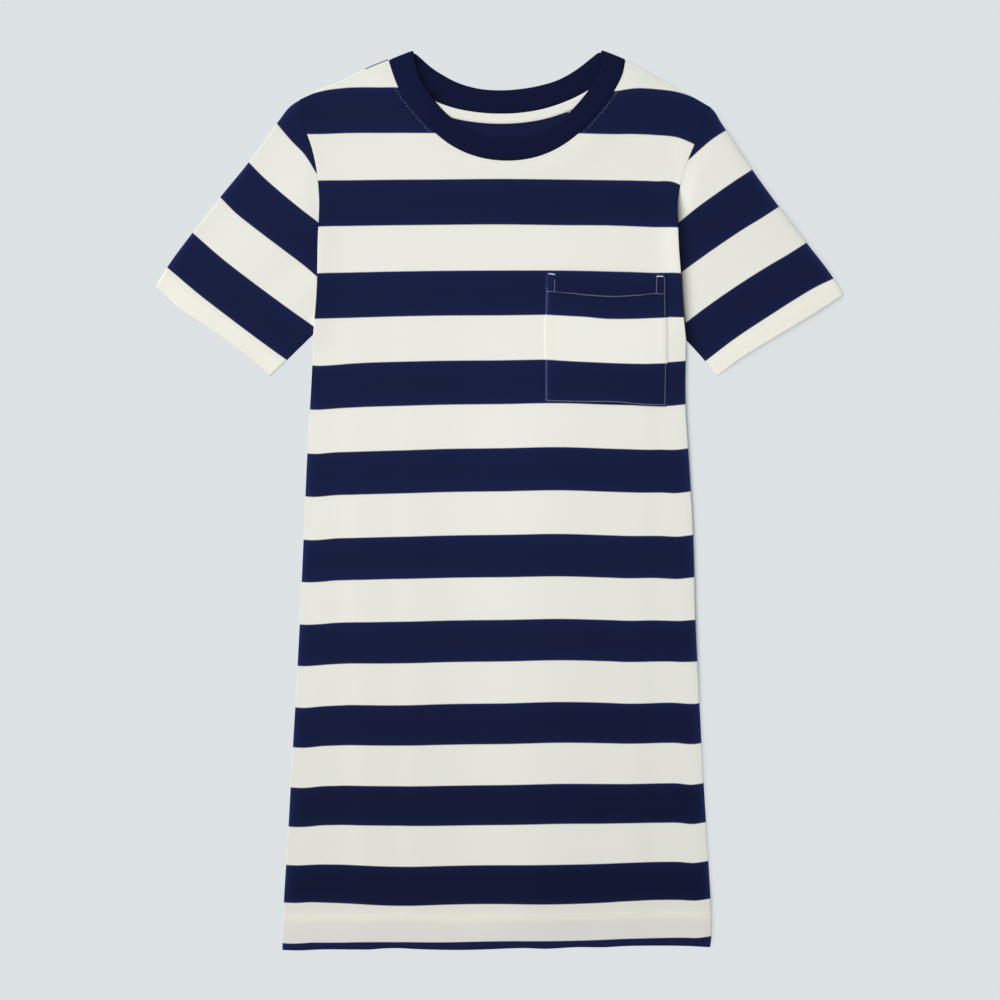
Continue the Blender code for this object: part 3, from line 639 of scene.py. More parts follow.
def front_over(plan):
    """Height of the front's outer face over the table."""
    x, y = plan[..., 0], plan[..., 1]
    to_armhole_left = distance_to(plan, armhole_left)
    to_armhole = np.minimum(distance_to(plan, armhole_right), to_armhole_left)
    to_shoulder = np.minimum(distance_to(plan, shoulder_right), distance_to(plan, shoulder_left))
    to_edge = np.minimum.reduce([distance_to(plan, side_right), to_armhole, to_shoulder])
    steps = sum(rise * soft_step(x, x_from, x_to) for x_from, x_to, rise in FRONT_STEPS)
    lifted = loft(plan, steps) * soft_step(to_edge, 0.0, LOFT_RISE)
    lifted -= np.minimum(lifted, EDGE_FALL) * np.exp(-distance_to(plan, side_left) / EDGE_REACH)
    height = 2 * hemmed_wall(plan) + LAYER_GAP + lifted
    to_neck = distance_to(plan, front_seam)
    height += NECK_RISE * np.exp(-((np.maximum(to_neck - NECK_LEVEL, 0.0) / NECK_FADE) ** 2))
    beside_sleeve = ARMHOLE_RISE * soft_step(y, *ARMHOLE_RISE_FROM)
    over_sleeve = UNDERARM_RISE * soft_step(y, *UNDERARM_RISE_FROM) * (1 - soft_step(y, *UNDERARM_RISE_TO))
    height += (beside_sleeve + over_sleeve) * np.exp(-((to_armhole / ARMHOLE_REACH) ** 2))
    lift = UNDERARM_LIFT * soft_step(y, *UNDERARM_LIFT_FROM) * (1 - soft_step(y, *UNDERARM_LIFT_TO))
    height += lift * np.exp(-((to_armhole_left / UNDERARM_LIFT_REACH) ** 2))
    return height + creased(plan, FRONT_CREASES)


def side_and_armhole(side_points, armhole):
    """A body panel's edge from hem to shoulder, with the underarm at the same share on every edge."""
    side = by_axis(line_through(side_points), 1)

    def at(v):
        v = np.asarray(v, float)
        below = side(np.clip(v / UNDERARM, 0.0, 1.0))
        above = armhole(np.clip((v - UNDERARM) / (1 - UNDERARM), 0.0, 1.0))
        return np.where((v < UNDERARM)[..., None], below, above)

    return at


def back_armhole(line, side):
    """The back's armhole: the front's, moved out most in its middle. side is -1 or 1."""
    shares = np.linspace(0.0, 1.0, 300)
    dense = line(shares)
    dense[:, 0] += side * BACK_ARMHOLE_OUT * np.sin(math.pi * shares) ** 2
    return function_of(dense, shares)


def body_plan(neck, right_armhole, left_armhole, shoulder_out=(0.0, 0.0)):
    """A body panel's grid in plan, finest along its edges and its hem's stitching."""
    right, left = np.array(SHOULDER_RIGHT), np.array(SHOULDER_LEFT[::-1])
    right[1:, 1] += shoulder_out[0]
    left[:-1, 1] += shoulder_out[1]
    neck = moved_out(neck, -SEAM_GAP)
    top = by_axis(joined(line_through(right), neck, line_through(left)), 0)
    start = side_and_armhole(SIDE_RIGHT, right_armhole)
    end = side_and_armhole(SIDE_LEFT, left_armhole)
    first, last = top(0.0)[0], top(1.0)[0]
    neck_x = neck(graded(arc_length(neck), 3.0, 2.0, 2.0))[:, 0]
    across = (neck_x - first) / (last - first)
    columns = np.concatenate([
        across[0] * graded(neck_x[0] - first, CELL, 1.1, 1.1)[:-1],
        across,
        across[-1] + (1 - across[-1]) * graded(last - neck_x[-1], CELL, 1.1, 1.1)[1:],
    ])
    length = np.linalg.norm(top(columns) - hem(columns), axis=1)
    stitched = cloth_sizes().hem_depth / MM
    low = stitched * graded(stitched - STITCH_BELOW, CELL, 1.1, 1.2) * (stitched - STITCH_BELOW) / stitched
    close = np.linspace(stitched - STITCH_BELOW, stitched + STITCH_ABOVE, 11)[1:]
    hem_rows = np.concatenate([low, close])[:, None] / length
    side_length = UNDERARM * length.mean() - stitched - STITCH_ABOVE
    side_share = np.linspace(0.0, 1.0, round(side_length / CELL) + 1)[1:, None]
    side_rows = hem_rows[-1] + (UNDERARM - hem_rows[-1]) * side_share
    arm_rows = UNDERARM + (1 - UNDERARM) * graded((1 - UNDERARM) * length.mean(), CELL, 2.5, 0.9)[1:, None]
    rows = np.concatenate([hem_rows, side_rows, np.broadcast_to(arm_rows, (len(arm_rows), len(columns)))])
    return patch(hem, top, start, end, SIDE_REACH)(np.broadcast_to(columns, rows.shape), rows)


def sleeve_layer_shares(wide, high, count):
    """Where the points of a sleeve's layer lie across it, clear of its two folds."""
    edge = high / 2 / wide
    return np.linspace(edge, 1 - edge, count + 1)


def fold_out(fold, side):
    """Which way a shoulder fold of the band faces, in plan."""
    along = unit(np.subtract(fold[1], fold[0]))
    return np.array([along[1] * side, -along[0] * side])


def neck_shares(seam, count):
    """Stations of a neck seam between the band's two shoulder folds."""
    length = arc_length(seam)
    return np.linspace(FOLD_REACH / length, 1 - FOLD_REACH / length, count + 1)


def band_half(seam, free_points, height, up, count):
    """Sections along one half of the band: seam point, free point and outward normal."""
    ends = [np.array(fold[1]) - fold_out(fold, side) * FOLD_REACH for fold, side in FOLDS]
    free = line_through((ends[0], *free_points, ends[1]))
    shares = np.linspace(0.0, 1.0, count + 1)
    for s, f in zip(seam(neck_shares(seam, count)), free(shares)):
        z = height(0.5 * (s[0] + f[0]))
        normal = np.array([0.0, 0.0, up])
        yield np.array([*s, z]), np.array([*f, z]), normal, normal


def band_fold(front, back, fold, turns):
    """Sections round a shoulder fold, between the last ones of the two halves."""
    for angle in np.radians(turns):
        from_front, from_back = (1 + math.cos(angle)) / 2, (1 - math.cos(angle)) / 2
        points, normals = [], []
        for end in (0, 1):
            base = from_front * front[end] + from_back * back[end]
            out = unit(np.array(fold[end]) - (front[end] + back[end])[:2] / 2)
            points.append(base + np.array([*(out * BAND_TURN * math.sin(angle)), 0.0]))
            normals.append(np.array([*(out * math.sin(angle)), math.cos(angle)]))
        yield *points, *normals


def band_front_height(x):
    middle_x = (FOLD_RIGHT[0][0] + FOLD_LEFT[0][0]) / 2
    rise = BAND_FRONT_SIDE - BAND_FRONT_MIDDLE
    return BAND_FRONT_MIDDLE + rise * soft_step(abs(x - middle_x), 8.0, 46.0)


def band_stations():
    """The neckband's sections once round the neck."""
    turns = np.linspace(0.0, 180.0, 14)[1:-1]
    front = list(band_half(front_seam, FRONT_FREE, band_front_height, 1.0, 120))
    back = list(band_half(back_seam, BACK_FREE, lambda x: BAND_BACK_MID, -1.0, 110))
    yield from front
    yield from band_fold(front[-1], back[-1], FOLD_LEFT, turns)
    yield from reversed(back)
    yield from band_fold(front[0], back[0], FOLD_RIGHT, turns[::-1])


def pocket_over(plan):
    """Height of the pocket's outer face: it lies on the front and is drawn down along its stitching."""
    edges = [line_through(p) for p in (POCKET_INNER, POCKET_BOTTOM, POCKET_OUTER)]
    away = np.stack([distance_to(plan, line) for line in edges])
    to_edge = away.min(0)
    below_mouth = from_table(plan[..., 0], POCKET_MOUTH) - plan[..., 1]
    wall = cloth_sizes().wall / MM
    turned = (HEMMED - WALL) * (1 - soft_step(below_mouth, POCKET_HEM - 1.5, POCKET_HEM + 1.5))
    doubled = 0.2 * (1 - soft_step(to_edge, 5.0, 11.0))
    drawn = 0.12 * np.exp(-(((to_edge - 2.1) / 1.2) ** 2))
    drawn += 0.2 * np.exp(-(((below_mouth - POCKET_HEM) / 1.3) ** 2))
    sunk = 0.12 * (1 - soft_step(away[0], 0.0, 2.4)) + 0.3 * (1 - soft_step(away[1], 0.0, 1.6))
    sunk += 0.7 * (1 - soft_step(away[2], 0.0, 2.6))
    return front_over(plan) + 0.1 + wall + np.maximum(turned, doubled) - drawn - sunk


# Meshes


def grid_faces(index):
    """The cells of a grid of point numbers."""
    return np.stack([index[:-1, :-1], index[:-1, 1:], index[1:, 1:], index[1:, :-1]], axis=-1).reshape(-1, 4)


def link(name, mesh):
    """A new object of a mesh, in the scene."""
    made = bpy.data.objects.new(name, mesh)
    bpy.context.scene.collection.objects.link(made)
    return made


def put_piece(name, points, faces, maps, material, flat=0):
    """A mesh object from points in mm, with its cloth coordinates as UV maps. Its last faces may stay flat."""
    points = points.reshape(-1, 3)
    a, b, c, d = (points[faces[:, k]] for k in range(4))
    inside = (a * (np.cross(b, c) + np.cross(c, d))).sum()
    if inside < 0:
        faces = faces[:, ::-1]
    mesh = bpy.data.meshes.new(name)
    mesh.from_pydata(((points - (*CENTRE, 0.0)) * MM).tolist(), [], faces.tolist())
    corners = np.zeros(len(mesh.loops), np.int32)
    mesh.loops.foreach_get("vertex_index", corners)
    for label, values in maps.items():
        layer = mesh.uv_layers.new(name=label)
        layer.data.foreach_set("uv", values.reshape(-1, 2)[corners].astype(np.float32).ravel())
    mesh.polygons.foreach_set("use_smooth", np.arange(len(faces)) < len(faces) - flat)
    mesh.materials.append(material)
    return link(name, mesh)


def drawn_in(grid, by):
    """A grid of points whose outermost ones are drawn inwards, for a rounded edge."""
    grid = grid.copy()
    for axis in (0, 1):
        lines = np.swapaxes(grid, 0, axis)
        for edge, next_in in ((0, 1), (-1, -2)):
            way = lines[next_in, :, :2] - lines[edge, :, :2]
            lines[edge, :, :2] += by * way / np.linalg.norm(way, axis=1)[:, None]
    return grid


def border(grid):
    """The outermost entries of a grid, once round it, anticlockwise from above."""
    return np.concatenate([grid[0, :-1], grid[:-1, -1], grid[-1, :0:-1], grid[:0:-1, 0]])


def put_sheet(name, plan, over, under, maps, material):
    """A wall of cloth between two heights over a plan, with a rounded edge."""
    rows, columns = plan.shape[:2]
    wall = (over - under)[..., None]
    high, low = (drawn_in(with_height(plan, height), EDGE_IN) for height in (over, under))
    for grid, down in ((high, 1.0), (low, -1.0)):
        for edge in (np.s_[0, :], np.s_[-1, :], np.s_[1:-1, 0], np.s_[1:-1, -1]):
            grid[edge][..., 2:] -= down * EDGE_DOWN * wall[edge]
    middle = border(with_height(plan, (over + under) / 2))
    count = rows * columns
    index = np.arange(count).reshape(rows, columns)
    rim = 2 * count + np.arange(len(middle))
    top_edge, low_edge = border(index), border(index) + count
    ahead = np.roll(np.arange(len(middle)), -1)
    faces = np.concatenate([
        grid_faces(index),
        grid_faces(index)[:, ::-1] + count,
        np.stack([low_edge, low_edge[ahead], rim[ahead], rim], axis=1),
        np.stack([rim, rim[ahead], top_edge[ahead], top_edge], axis=1),
    ])
    points = np.concatenate([high.reshape(-1, 3), low.reshape(-1, 3), middle])
    maps = {
        label: np.concatenate([values.reshape(-1, 2), values.reshape(-1, 2), border(values)])
        for label, values in maps.items()
    }
    return put_piece(name, points, faces, maps, material, flat=2 * len(middle))


def put_tube(name, outer, inner, rim, maps, material):
    """A wall between two rows of closed sections, its far end closed over a rim of points."""
    rows, around = outer.shape[:2]
    out, into = np.arange(2 * rows * around).reshape(2, rows, around)
    lip = 2 * rows * around + np.arange(around)
    n = np.roll(np.arange(around), -1)
    faces = np.concatenate([
        np.stack([out[:-1], out[:-1][:, n], out[1:][:, n], out[1:]], axis=-1).reshape(-1, 4),
        np.stack([into[:-1], into[1:], into[1:][:, n], into[:-1][:, n]], axis=-1).reshape(-1, 4),
        np.stack([out[-1], out[-1][n], lip[n], lip], axis=-1),
        np.stack([lip, lip[n], into[-1][n], into[-1]], axis=-1),
        np.stack([out[0], into[0], into[0][n], out[0][n]], axis=-1),
    ])
    points = np.concatenate([outer.reshape(-1, 3), inner.reshape(-1, 3), rim])
    return put_piece(name, points, faces, maps, material, flat=3 * around)


def finish_cloth(piece, nodes):
    """What a piece of cloth stands for and rides on. Its cut sizes are looked up but not used."""
    width, length, area = CUTS[piece.name]
    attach(piece, "root")
    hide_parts(*nodes)


# Materials


class Number:
    """A socket of a material, so that its maths reads as an expression."""

    def __init__(self, finish, socket):
        self.finish, self.socket = finish, socket

    def maths(self, *terms):
        return self.finish.maths(*terms)

    def __add__(self, other):
        return self.maths("ADD", self, other)

    __radd__ = __add__

    def __sub__(self, other):
        return self.maths("SUBTRACT", self, other)

    def __rsub__(self, other):
        return self.maths("SUBTRACT", other, self)

    def __mul__(self, other):
        return self.maths("MULTIPLY", self, other)

    __rmul__ = __mul__

    def __truediv__(self, other):
        return self.maths("DIVIDE", self, other)

    def sine(self):
        return self.maths("SINE", self)

    def size(self):
        return self.maths("ABSOLUTE", self)

    def part(self):
        return self.maths("FRACT", self)

    def clamped_low(self):
        return self.maths("MAXIMUM", self, 0.0)

    def clamped(self):
        return self.finish.node("Clamp", {}, {"Value": self})

    def power_of_e(self):
        return self.maths("POWER", math.e, self)

    def bell(self, middle, half):
        """1 where this is the middle value, falling to 0 on both sides."""
        away = (self - middle) / half
        return (away * away * -1.0).power_of_e()


class Finish:
    """A material being made. Every node of it comes from one method."""

    def __init__(self, name):
        self.material = bpy.data.materials.new(name)
        self.material.use_nodes = True
        self.tree = self.material.node_tree
        self.tree.nodes.clear()

    def node(self, kind, settings, values, out=0):
        """A node of a kind: its settings first, then its sockets' values or links."""
        made = self.tree.nodes.new("ShaderNode" + kind)
        for name, value in settings.items():
            setattr(made, name, value)
        for key, value in values.items():
            if isinstance(value, Number):
                self.tree.links.new(value.socket, made.inputs[key])
            else:
                made.inputs[key].default_value = value
        return Number(self, made.outputs[out]) if len(made.outputs) else None

    def maths(self, operation, *values):
        return self.node("Math", {"operation": operation}, dict(enumerate(values)))

    def apart(self, place):
        """The first two numbers of a place."""
        return [self.node("SeparateXYZ", {}, {"Vector": place}, out=axis) for axis in "XY"]

    def map(self, label):
        """The two numbers of a UV map."""
        return self.apart(self.node("UVMap", {"uv_map": label}, {}))

    def noise(self, x, y, scale=1.0, detail=2.0, z=0.0):
        """Soft noise from 0 to 1 over two numbers."""
        place = self.node("CombineXYZ", {}, {"X": x, "Y": y, "Z": z})
        return self.node("TexNoise", {}, {"Vector": place, "Scale": scale, "Detail": detail}, out="Fac")

    def mixed(self, share, first, second):
        """Two colours mixed by a share."""
        return self.node("Mix", {"data_type": "RGBA"}, {0: share, 6: first, 7: second}, out=2)

    def cloth(self, colour, roughness, relief, height_mm=1.0):
        """Closes the material as a cloth: colour, roughness, and relief in mm."""
        normal = self.node("Bump", {}, {"Strength": 1.0, "Distance": height_mm * MM, "Height": relief})
        return self.closed(self.node("BsdfPrincipled", {}, {
            "Base Color": colour, "Roughness": roughness, "Normal": normal,
            "Specular IOR Level": 0.1, "Sheen Weight": 0.03, "Sheen Roughness": 0.4,
        }))

    def closed(self, surface):
        """The material, with its surface."""
        self.node("OutputMaterial", {}, {"Surface": surface})
        return self.material


def linear(colour, times=1.0):
    """A user's colour, which Blender holds as linear, made lighter or darker, with its alpha."""
    return (*(min(1.0, c * times) for c in colour), 1.0)


def tinted(colour, by):
    return (*(min(1.0, c * b) for c, b in zip(colour, by)), 1.0)


def from_srgb(colour):
    return tuple(c / 12.92 if c <= 0.04045 else ((c + 0.055) / 1.055) ** 2.4 for c in colour)


def knit_relief(along, down):
    """Relief of plain jersey: columns of small V stitches, in mm, from cloth coordinates."""
    wales = (along * (STRIPE / WALE)).part() * 2.0 - 1.0
    lean = wales.size()
    courses = ((down * (STRIPE / COURSE) + lean * 0.5) * (2 * math.pi)).sine()
    return (1.0 - lean) * 0.05 + courses * 0.02


def striped_jersey(name, hemmed_to=0.0, hem_shade_to=0.0, beside="", lighter=1.0):
    """Yarn-dyed striped jersey. Its UV maps give the stripes and the distances from seams and edges."""
    sizes = cloth_sizes()
    finish = Finish(name)
    along, down = finish.map("cloth")
    from_fold, from_seam = finish.map("seams")
    from_edge, darkens = finish.map("edges")
    yarn = finish.noise(along * 4.0, down * 58.0, detail=3.0)
    streak = finish.noise(along * 0.5, down * 22.0, detail=2.0, z=3.0)
    cloud = finish.noise(along * 1.1, down * 1.3, detail=2.0, z=7.0)
    uneven = (yarn - 0.5) * 0.10 + (streak - 0.5) * 0.10 + (cloud - 0.5) * 0.06
    edge = down + (yarn - 0.5) * 0.006
    navy = ((edge * math.pi).sine() * 16.0 + 0.5).clamped()
    from_change = (down * math.pi).sine().size()
    halo = finish.node("MapRange", {}, {"Value": from_change, 1: 0.0, 2: 0.45, 3: 1.0, 4: 0.0})
    upper_half = ((down * math.pi + math.pi / 2).sine() * -4.0 + 0.5).clamped()
    shade = (0.5 + uneven - halo * upper_half * 0.2).clamped()
    light = finish.mixed(shade, linear(sizes.cream, 0.94 * lighter), linear(sizes.cream, 1.06 * lighter))
    # Painted light: the navy is lighter towards the neck and the wearer's right and darker towards the hem,
    # with its uneven tone added in
    fading = {"interpolation_type": "SMOOTHSTEP"}
    depth = finish.node("MapRange", fading, {"Value": down, 1: 8.5, 2: 21.0, 3: 1.0, 4: 0.0})
    painted_light_and_tone = (depth * 0.62 + 0.34 - along * 0.02 + uneven * 2.0).clamped()
    dark = finish.mixed(painted_light_and_tone, linear(sizes.navy, 0.5), linear(sizes.navy, 1.05))
    # Painted shade on the cream along the outlines: soft over a few mm, and crisp at the very rim
    softly, crisply = darkens.clamped_low(), (darkens * -1.0).clamped_low()
    soft = (from_edge * (-1.0 / SOFT_REACH)).power_of_e() * (softly * 0.38 + crisply * 0.04)
    crisp = from_edge.bell(0.0, CRISP_REACH) * crisply * 0.24
    light = finish.mixed((soft + crisp).clamped(), light, linear(sizes.cream, 0.5))
    # Painted sheen on the navy along the outlines (on the body only below the armholes) and along the hem's
    # fold; the navy is also lighter near each change of stripe
    bloom = (from_change * -3.5).power_of_e() * 0.42
    edge_sheen = (from_edge * (-1.0 / NAVY_REACH)).power_of_e() * (darkens.size() * 20.0).clamped() * 1.5
    if hem_shade_to:
        edge_sheen = edge_sheen * ((600.0 - from_fold) * 0.02).clamped()
        dark = finish.mixed(((8.0 - from_fold) * 0.5).clamped(), dark, linear(sizes.navy, 1.2))
    dark = finish.mixed((edge_sheen + bloom).clamped(), dark, linear(sizes.navy, 2.25))
    if hem_shade_to:
        # Painted shade: the cream over the turned-up hem is darker and greyer, most near its fold; then a
        # lighter, warmer band along the stitching and a greyer one just above the hem
        inside = hem_shade_to - from_fold
        hem_shade = (inside * 0.22 + 0.5).clamped() * 0.65 + (inside / 24.0).clamped() * 0.35
        light = finish.mixed(hem_shade, light, tinted(sizes.cream, (0.945, 0.925, 0.955)))
        warm, grey = tinted(sizes.cream, (1.025, 1.005, 0.96)), tinted(sizes.cream, (0.96, 0.94, 0.95))
        light = finish.mixed(from_fold.bell(hemmed_to - 4.5, 4.0) * 0.8, light, warm)
        light = finish.mixed(from_fold.bell(hemmed_to + 5.0, 7.0), light, grey)
    elif hemmed_to:
        turned_in = ((hemmed_to - from_fold) * 0.35 + 0.5).clamped()
        light = finish.mixed(turned_in * 0.8, light, tinted(sizes.cream, (1.08, 1.065, 1.035)))
        # Painted shade in the groove along the cuff's stitching
        light = finish.mixed(from_fold.bell(hemmed_to - 2.0, 1.3) * 0.45, light, linear(sizes.cream, 0.93))
    if beside == "pocket edge":
        turned_in = ((9.0 - from_seam) * 0.5 + 0.5).clamped()
        light = finish.mixed(turned_in * 0.8, light, tinted(sizes.cream, (1.05, 1.015, 0.985)))
    if beside == "body":
        near = (finish.maths("POWER", from_seam.clamped_low() / 6.0, 1.6) * -1.0).power_of_e()
        light = finish.mixed(near * 0.85, light, ARMHOLE_SHADE)
        near = (finish.maths("POWER", from_seam.clamped_low() / 8.0, 2.5) * -1.0).power_of_e()
        dark = finish.mixed(near * 0.88, dark, linear(sizes.navy, 0.28))
    colour = finish.mixed(navy, light, dark)
    relief = knit_relief(along, down) + (yarn - 0.5) * 0.10 + (streak - 0.5) * 0.04
    if beside == "neck":
        relief = relief - from_seam.bell(NECK_STITCH_OUT, 0.7) * 0.12
    if hemmed_to:
        for row in HEM_STITCHES if hem_shade_to else CUFF_STITCHES:
            relief = relief - from_fold.bell(row, 0.6) * 0.05
    return finish.cloth(colour, 0.86 + (yarn - 0.5) * 0.1, relief)


def navy_rib(name):
    """Fine rib whose ridges run across the neckband."""
    sizes = cloth_sizes()
    finish = Finish(name)
    along, across = finish.map("cloth")
    shadow_under_front, towards_light = finish.map("seams")
    ridge = (along * (2 * math.pi / sizes.rib_pitch * MM)).sine()
    yarn = finish.noise(along * 1.2, across * 4.0, detail=3.0)
    shade = (0.5 + ridge * 0.16 + (yarn - 0.5) * 0.7).clamped()
    colour = finish.mixed(shade, linear(sizes.rib, 0.7), linear(sizes.rib, 1.3))
    # Painted light on the side towards the light, and painted shadow under the front's free edge
    colour = finish.mixed(towards_light, colour, linear(sizes.rib, 2.0))
    colour = finish.mixed(shadow_under_front, colour, NECK_SHADE)
    relief = ridge * 0.07 + (yarn - 0.5) * 0.08
    return finish.cloth(colour, 0.88 + (yarn - 0.5) * 0.08, relief)


def cream_twill(name):
    """Cotton tape: fine slanting ribs and two needle lines."""
    sizes = cloth_sizes()
    finish = Finish(name)
    along, across = finish.map("cloth")
    slant = ((along + across) * (2 * math.pi / TWILL_PITCH)).sine()
    yarn = finish.noise(along * 0.6, across * 3.0, detail=3.0)
    needle = across.bell(NEEDLE_IN, 0.35) + across.bell(TAPE_WIDE - NEEDLE_IN, 0.35)
    shade = (0.55 + slant * 0.1 + (yarn - 0.5) * 0.4 - needle * 0.3).clamped()
    colour = finish.mixed(shade, linear(sizes.cream, 0.94), linear(sizes.cream, 1.10))
    relief = slant * 0.04 + (yarn - 0.5) * 0.05 - needle * 0.15
    return finish.cloth(colour, 0.8 + (yarn - 0.5) * 0.1, relief)


def spun_thread(name, colour):
    """Sewing thread: two plies, lightly uneven."""
    finish = Finish(name)
    place = finish.node("TexCoord", {}, {}, out="Object")
    x, y = finish.apart(place)
    ply = ((x + y) * (2 * math.pi / PLY_PITCH)).sine()
    fuzz = finish.node("TexNoise", {}, {"Vector": place, "Scale": 900.0, "Detail": 2.0}, out="Fac")
    shade = (0.55 + ply * 0.12 + (fuzz - 0.5) * 0.6).clamped()
    tone = finish.mixed(shade, linear(colour, 0.85), linear(colour, 1.05))
    return finish.cloth(tone, 0.7 + (fuzz - 0.5) * 0.2, ply * 0.03 + fuzz * 0.03)


# Settings


class ClothSettings(bpy.types.PropertyGroup):
    """Colours and sizes of the cloth"""

    cream: bpy.props.FloatVectorProperty(
        name="Cream", description="Cream of the jersey", subtype="COLOR", min=0.0, max=1.0,
        default=(0.840, 0.830, 0.760),
    )
    navy: bpy.props.FloatVectorProperty(
        name="Navy", description="Navy of the jersey", subtype="COLOR", min=0.0, max=1.0,
        default=(0.0058, 0.0096, 0.0450),
    )
    rib: bpy.props.FloatVectorProperty(
        name="Rib", description="Navy of the neckband", subtype="COLOR", min=0.0, max=1.0,
        default=(0.0036, 0.0066, 0.0330),
    )
    wall: bpy.props.FloatProperty(
        name="Jersey", description="Thickness of one layer of jersey",
        default=WALL * MM, unit="LENGTH", subtype="DISTANCE", min=0.0008, max=0.0012,
    )
    hem_depth: bpy.props.FloatProperty(
        name="Hem", description="Depth of the turned-up hem",
        default=BODY_HEM * MM, unit="LENGTH", subtype="DISTANCE", min=0.03, max=0.05,
    )
    rib_pitch: bpy.props.FloatProperty(
        name="Rib pitch", description="Distance between two ridges of the neckband's rib",
        default=0.00125, unit="LENGTH", subtype="DISTANCE", min=0.0008, max=0.003,
    )


class StitchSettings(bpy.types.PropertyGroup):
    """Sewing thread"""

    thread: bpy.props.FloatVectorProperty(
        name="Thread", description="Colour of the sewing thread", subtype="COLOR", min=0.0, max=1.0,
        default=(0.82, 0.83, 0.95),
    )
    thick: bpy.props.FloatProperty(
        name="Thickness", description="Thickness of the thread",
        default=0.00035, unit="LENGTH", subtype="DISTANCE", min=0.0002, max=0.0008,
    )


class StageSettings(bpy.types.PropertyGroup):
    """Floor, light and camera"""

    floor: bpy.props.FloatVectorProperty(
        name="Floor", description="Colour of the floor", subtype="COLOR", min=0.0, max=1.0,
        default=from_srgb((220 / 255, 225 / 255, 228 / 255)),
    )
    sun: bpy.props.FloatProperty(
        name="Key light", description="Strength of the key light", default=2.25, min=0.0,
    )
    sky: bpy.props.FloatProperty(
        name="Soft light", description="Strength of the light all round", default=0.3, min=0.0,
    )
    lamp: bpy.props.FloatProperty(
        name="Lamp", description="Power of the lamp overhead", default=2.8, unit="POWER", min=0.0,
    )
    lens: bpy.props.FloatProperty(
        name="Lens", description="Focal length of the camera", default=50.0, unit="CAMERA", min=20.0,
    )


# Operators


def edge_map(plan, darkens, lines):
    """How far each point lies from the nearest of some edges, and the painted shade and sheen that edge gives.
    """
    away = np.stack([distance_to(plan, line) for line in lines])
    return np.stack([away.min(0), np.array(darkens)[away.argmin(0)]], axis=-1)


def body_maps(plan, neck, stripes, edges):
    """UV maps of a body panel. edges pairs its outlines with the painted shade and sheen that they give."""
    lines, darkens = zip(*edges)
    return {
        "cloth": stripes,
        "seams": np.stack([hem_depth(plan), distance_to(plan, neck, 500)], axis=-1),
        "edges": edge_map(plan, darkens, lines),
    }


class DRESS_OT_body(bpy.types.Operator):
    """Make the front and the back"""

    bl_idname = "dress.body"
    bl_label = "Front and back"

    def execute(self, context):
        sizes = cloth_sizes()
        jersey = striped_jersey("striped jersey", sizes.hem_depth / MM, HEM_SHADE_TO, "neck")
        right, left = back_armhole(armhole_right, -1), back_armhole(armhole_left, 1)
        plan = body_plan(back_seam, right, left, BACK_SHOULDERS_OUT)
        under = np.maximum(creased(plan, BACK_CREASES), 0.0) + side_lift(plan)
        over = under + hemmed_wall(plan)
        at_shoulder = soft_step(abs(plan[..., 0]), 70.0, 130.0) * soft_step(plan[..., 1], 400.0, 430.0)
        lower = BACK_LOWER + BACK_SHOULDER_LOWER * at_shoulder
        maps = body_maps(plan, back_seam, body_stripes(plan, lower), BACK_EDGES)
        back = put_sheet("back_cloth", plan, over, under, maps, jersey)
        finish_cloth(back, ["body_back"])
        plan = body_plan(front_seam, armhole_right, armhole_left)
        over = front_over(plan)
        maps = body_maps(plan, front_seam, body_stripes(plan), FRONT_EDGES)
        front = put_sheet("front_cloth", plan, over, over - hemmed_wall(plan), maps, jersey)
        finish_cloth(front, ["body_front"])
        return {"FINISHED"}


def cuff_extra(from_cuff):
    """What a cuff's turned-up layer adds to the wall."""
    return (CUFF_WALL - WALL) * (1 - soft_step(from_cuff, CUFF_HEM - CUFF_STEP, CUFF_HEM + CUFF_STEP))


def sleeve_lift(share, wide, row, side):
    """How far a sleeve's upper layer stands off the lower one, from its underarm fold to its outer fold."""
    across = share * wide
    lift = sum(
        high * hump(across - (at_root + (at_cuff - at_root) * row) * wide, half)
        for at_root, at_cuff, high, half in SLEEVE_RIDGES
    )
    lift = lift * soft_step(across, 4.0, 30.0) * soft_step(wide - across, 4.0, 30.0)
    if side > 0:
        lift += SLEEVE_ROLL * (1 - np.exp((across - wide) / 5.0)) * soft_step(across, 4.0, 50.0)
    return lift


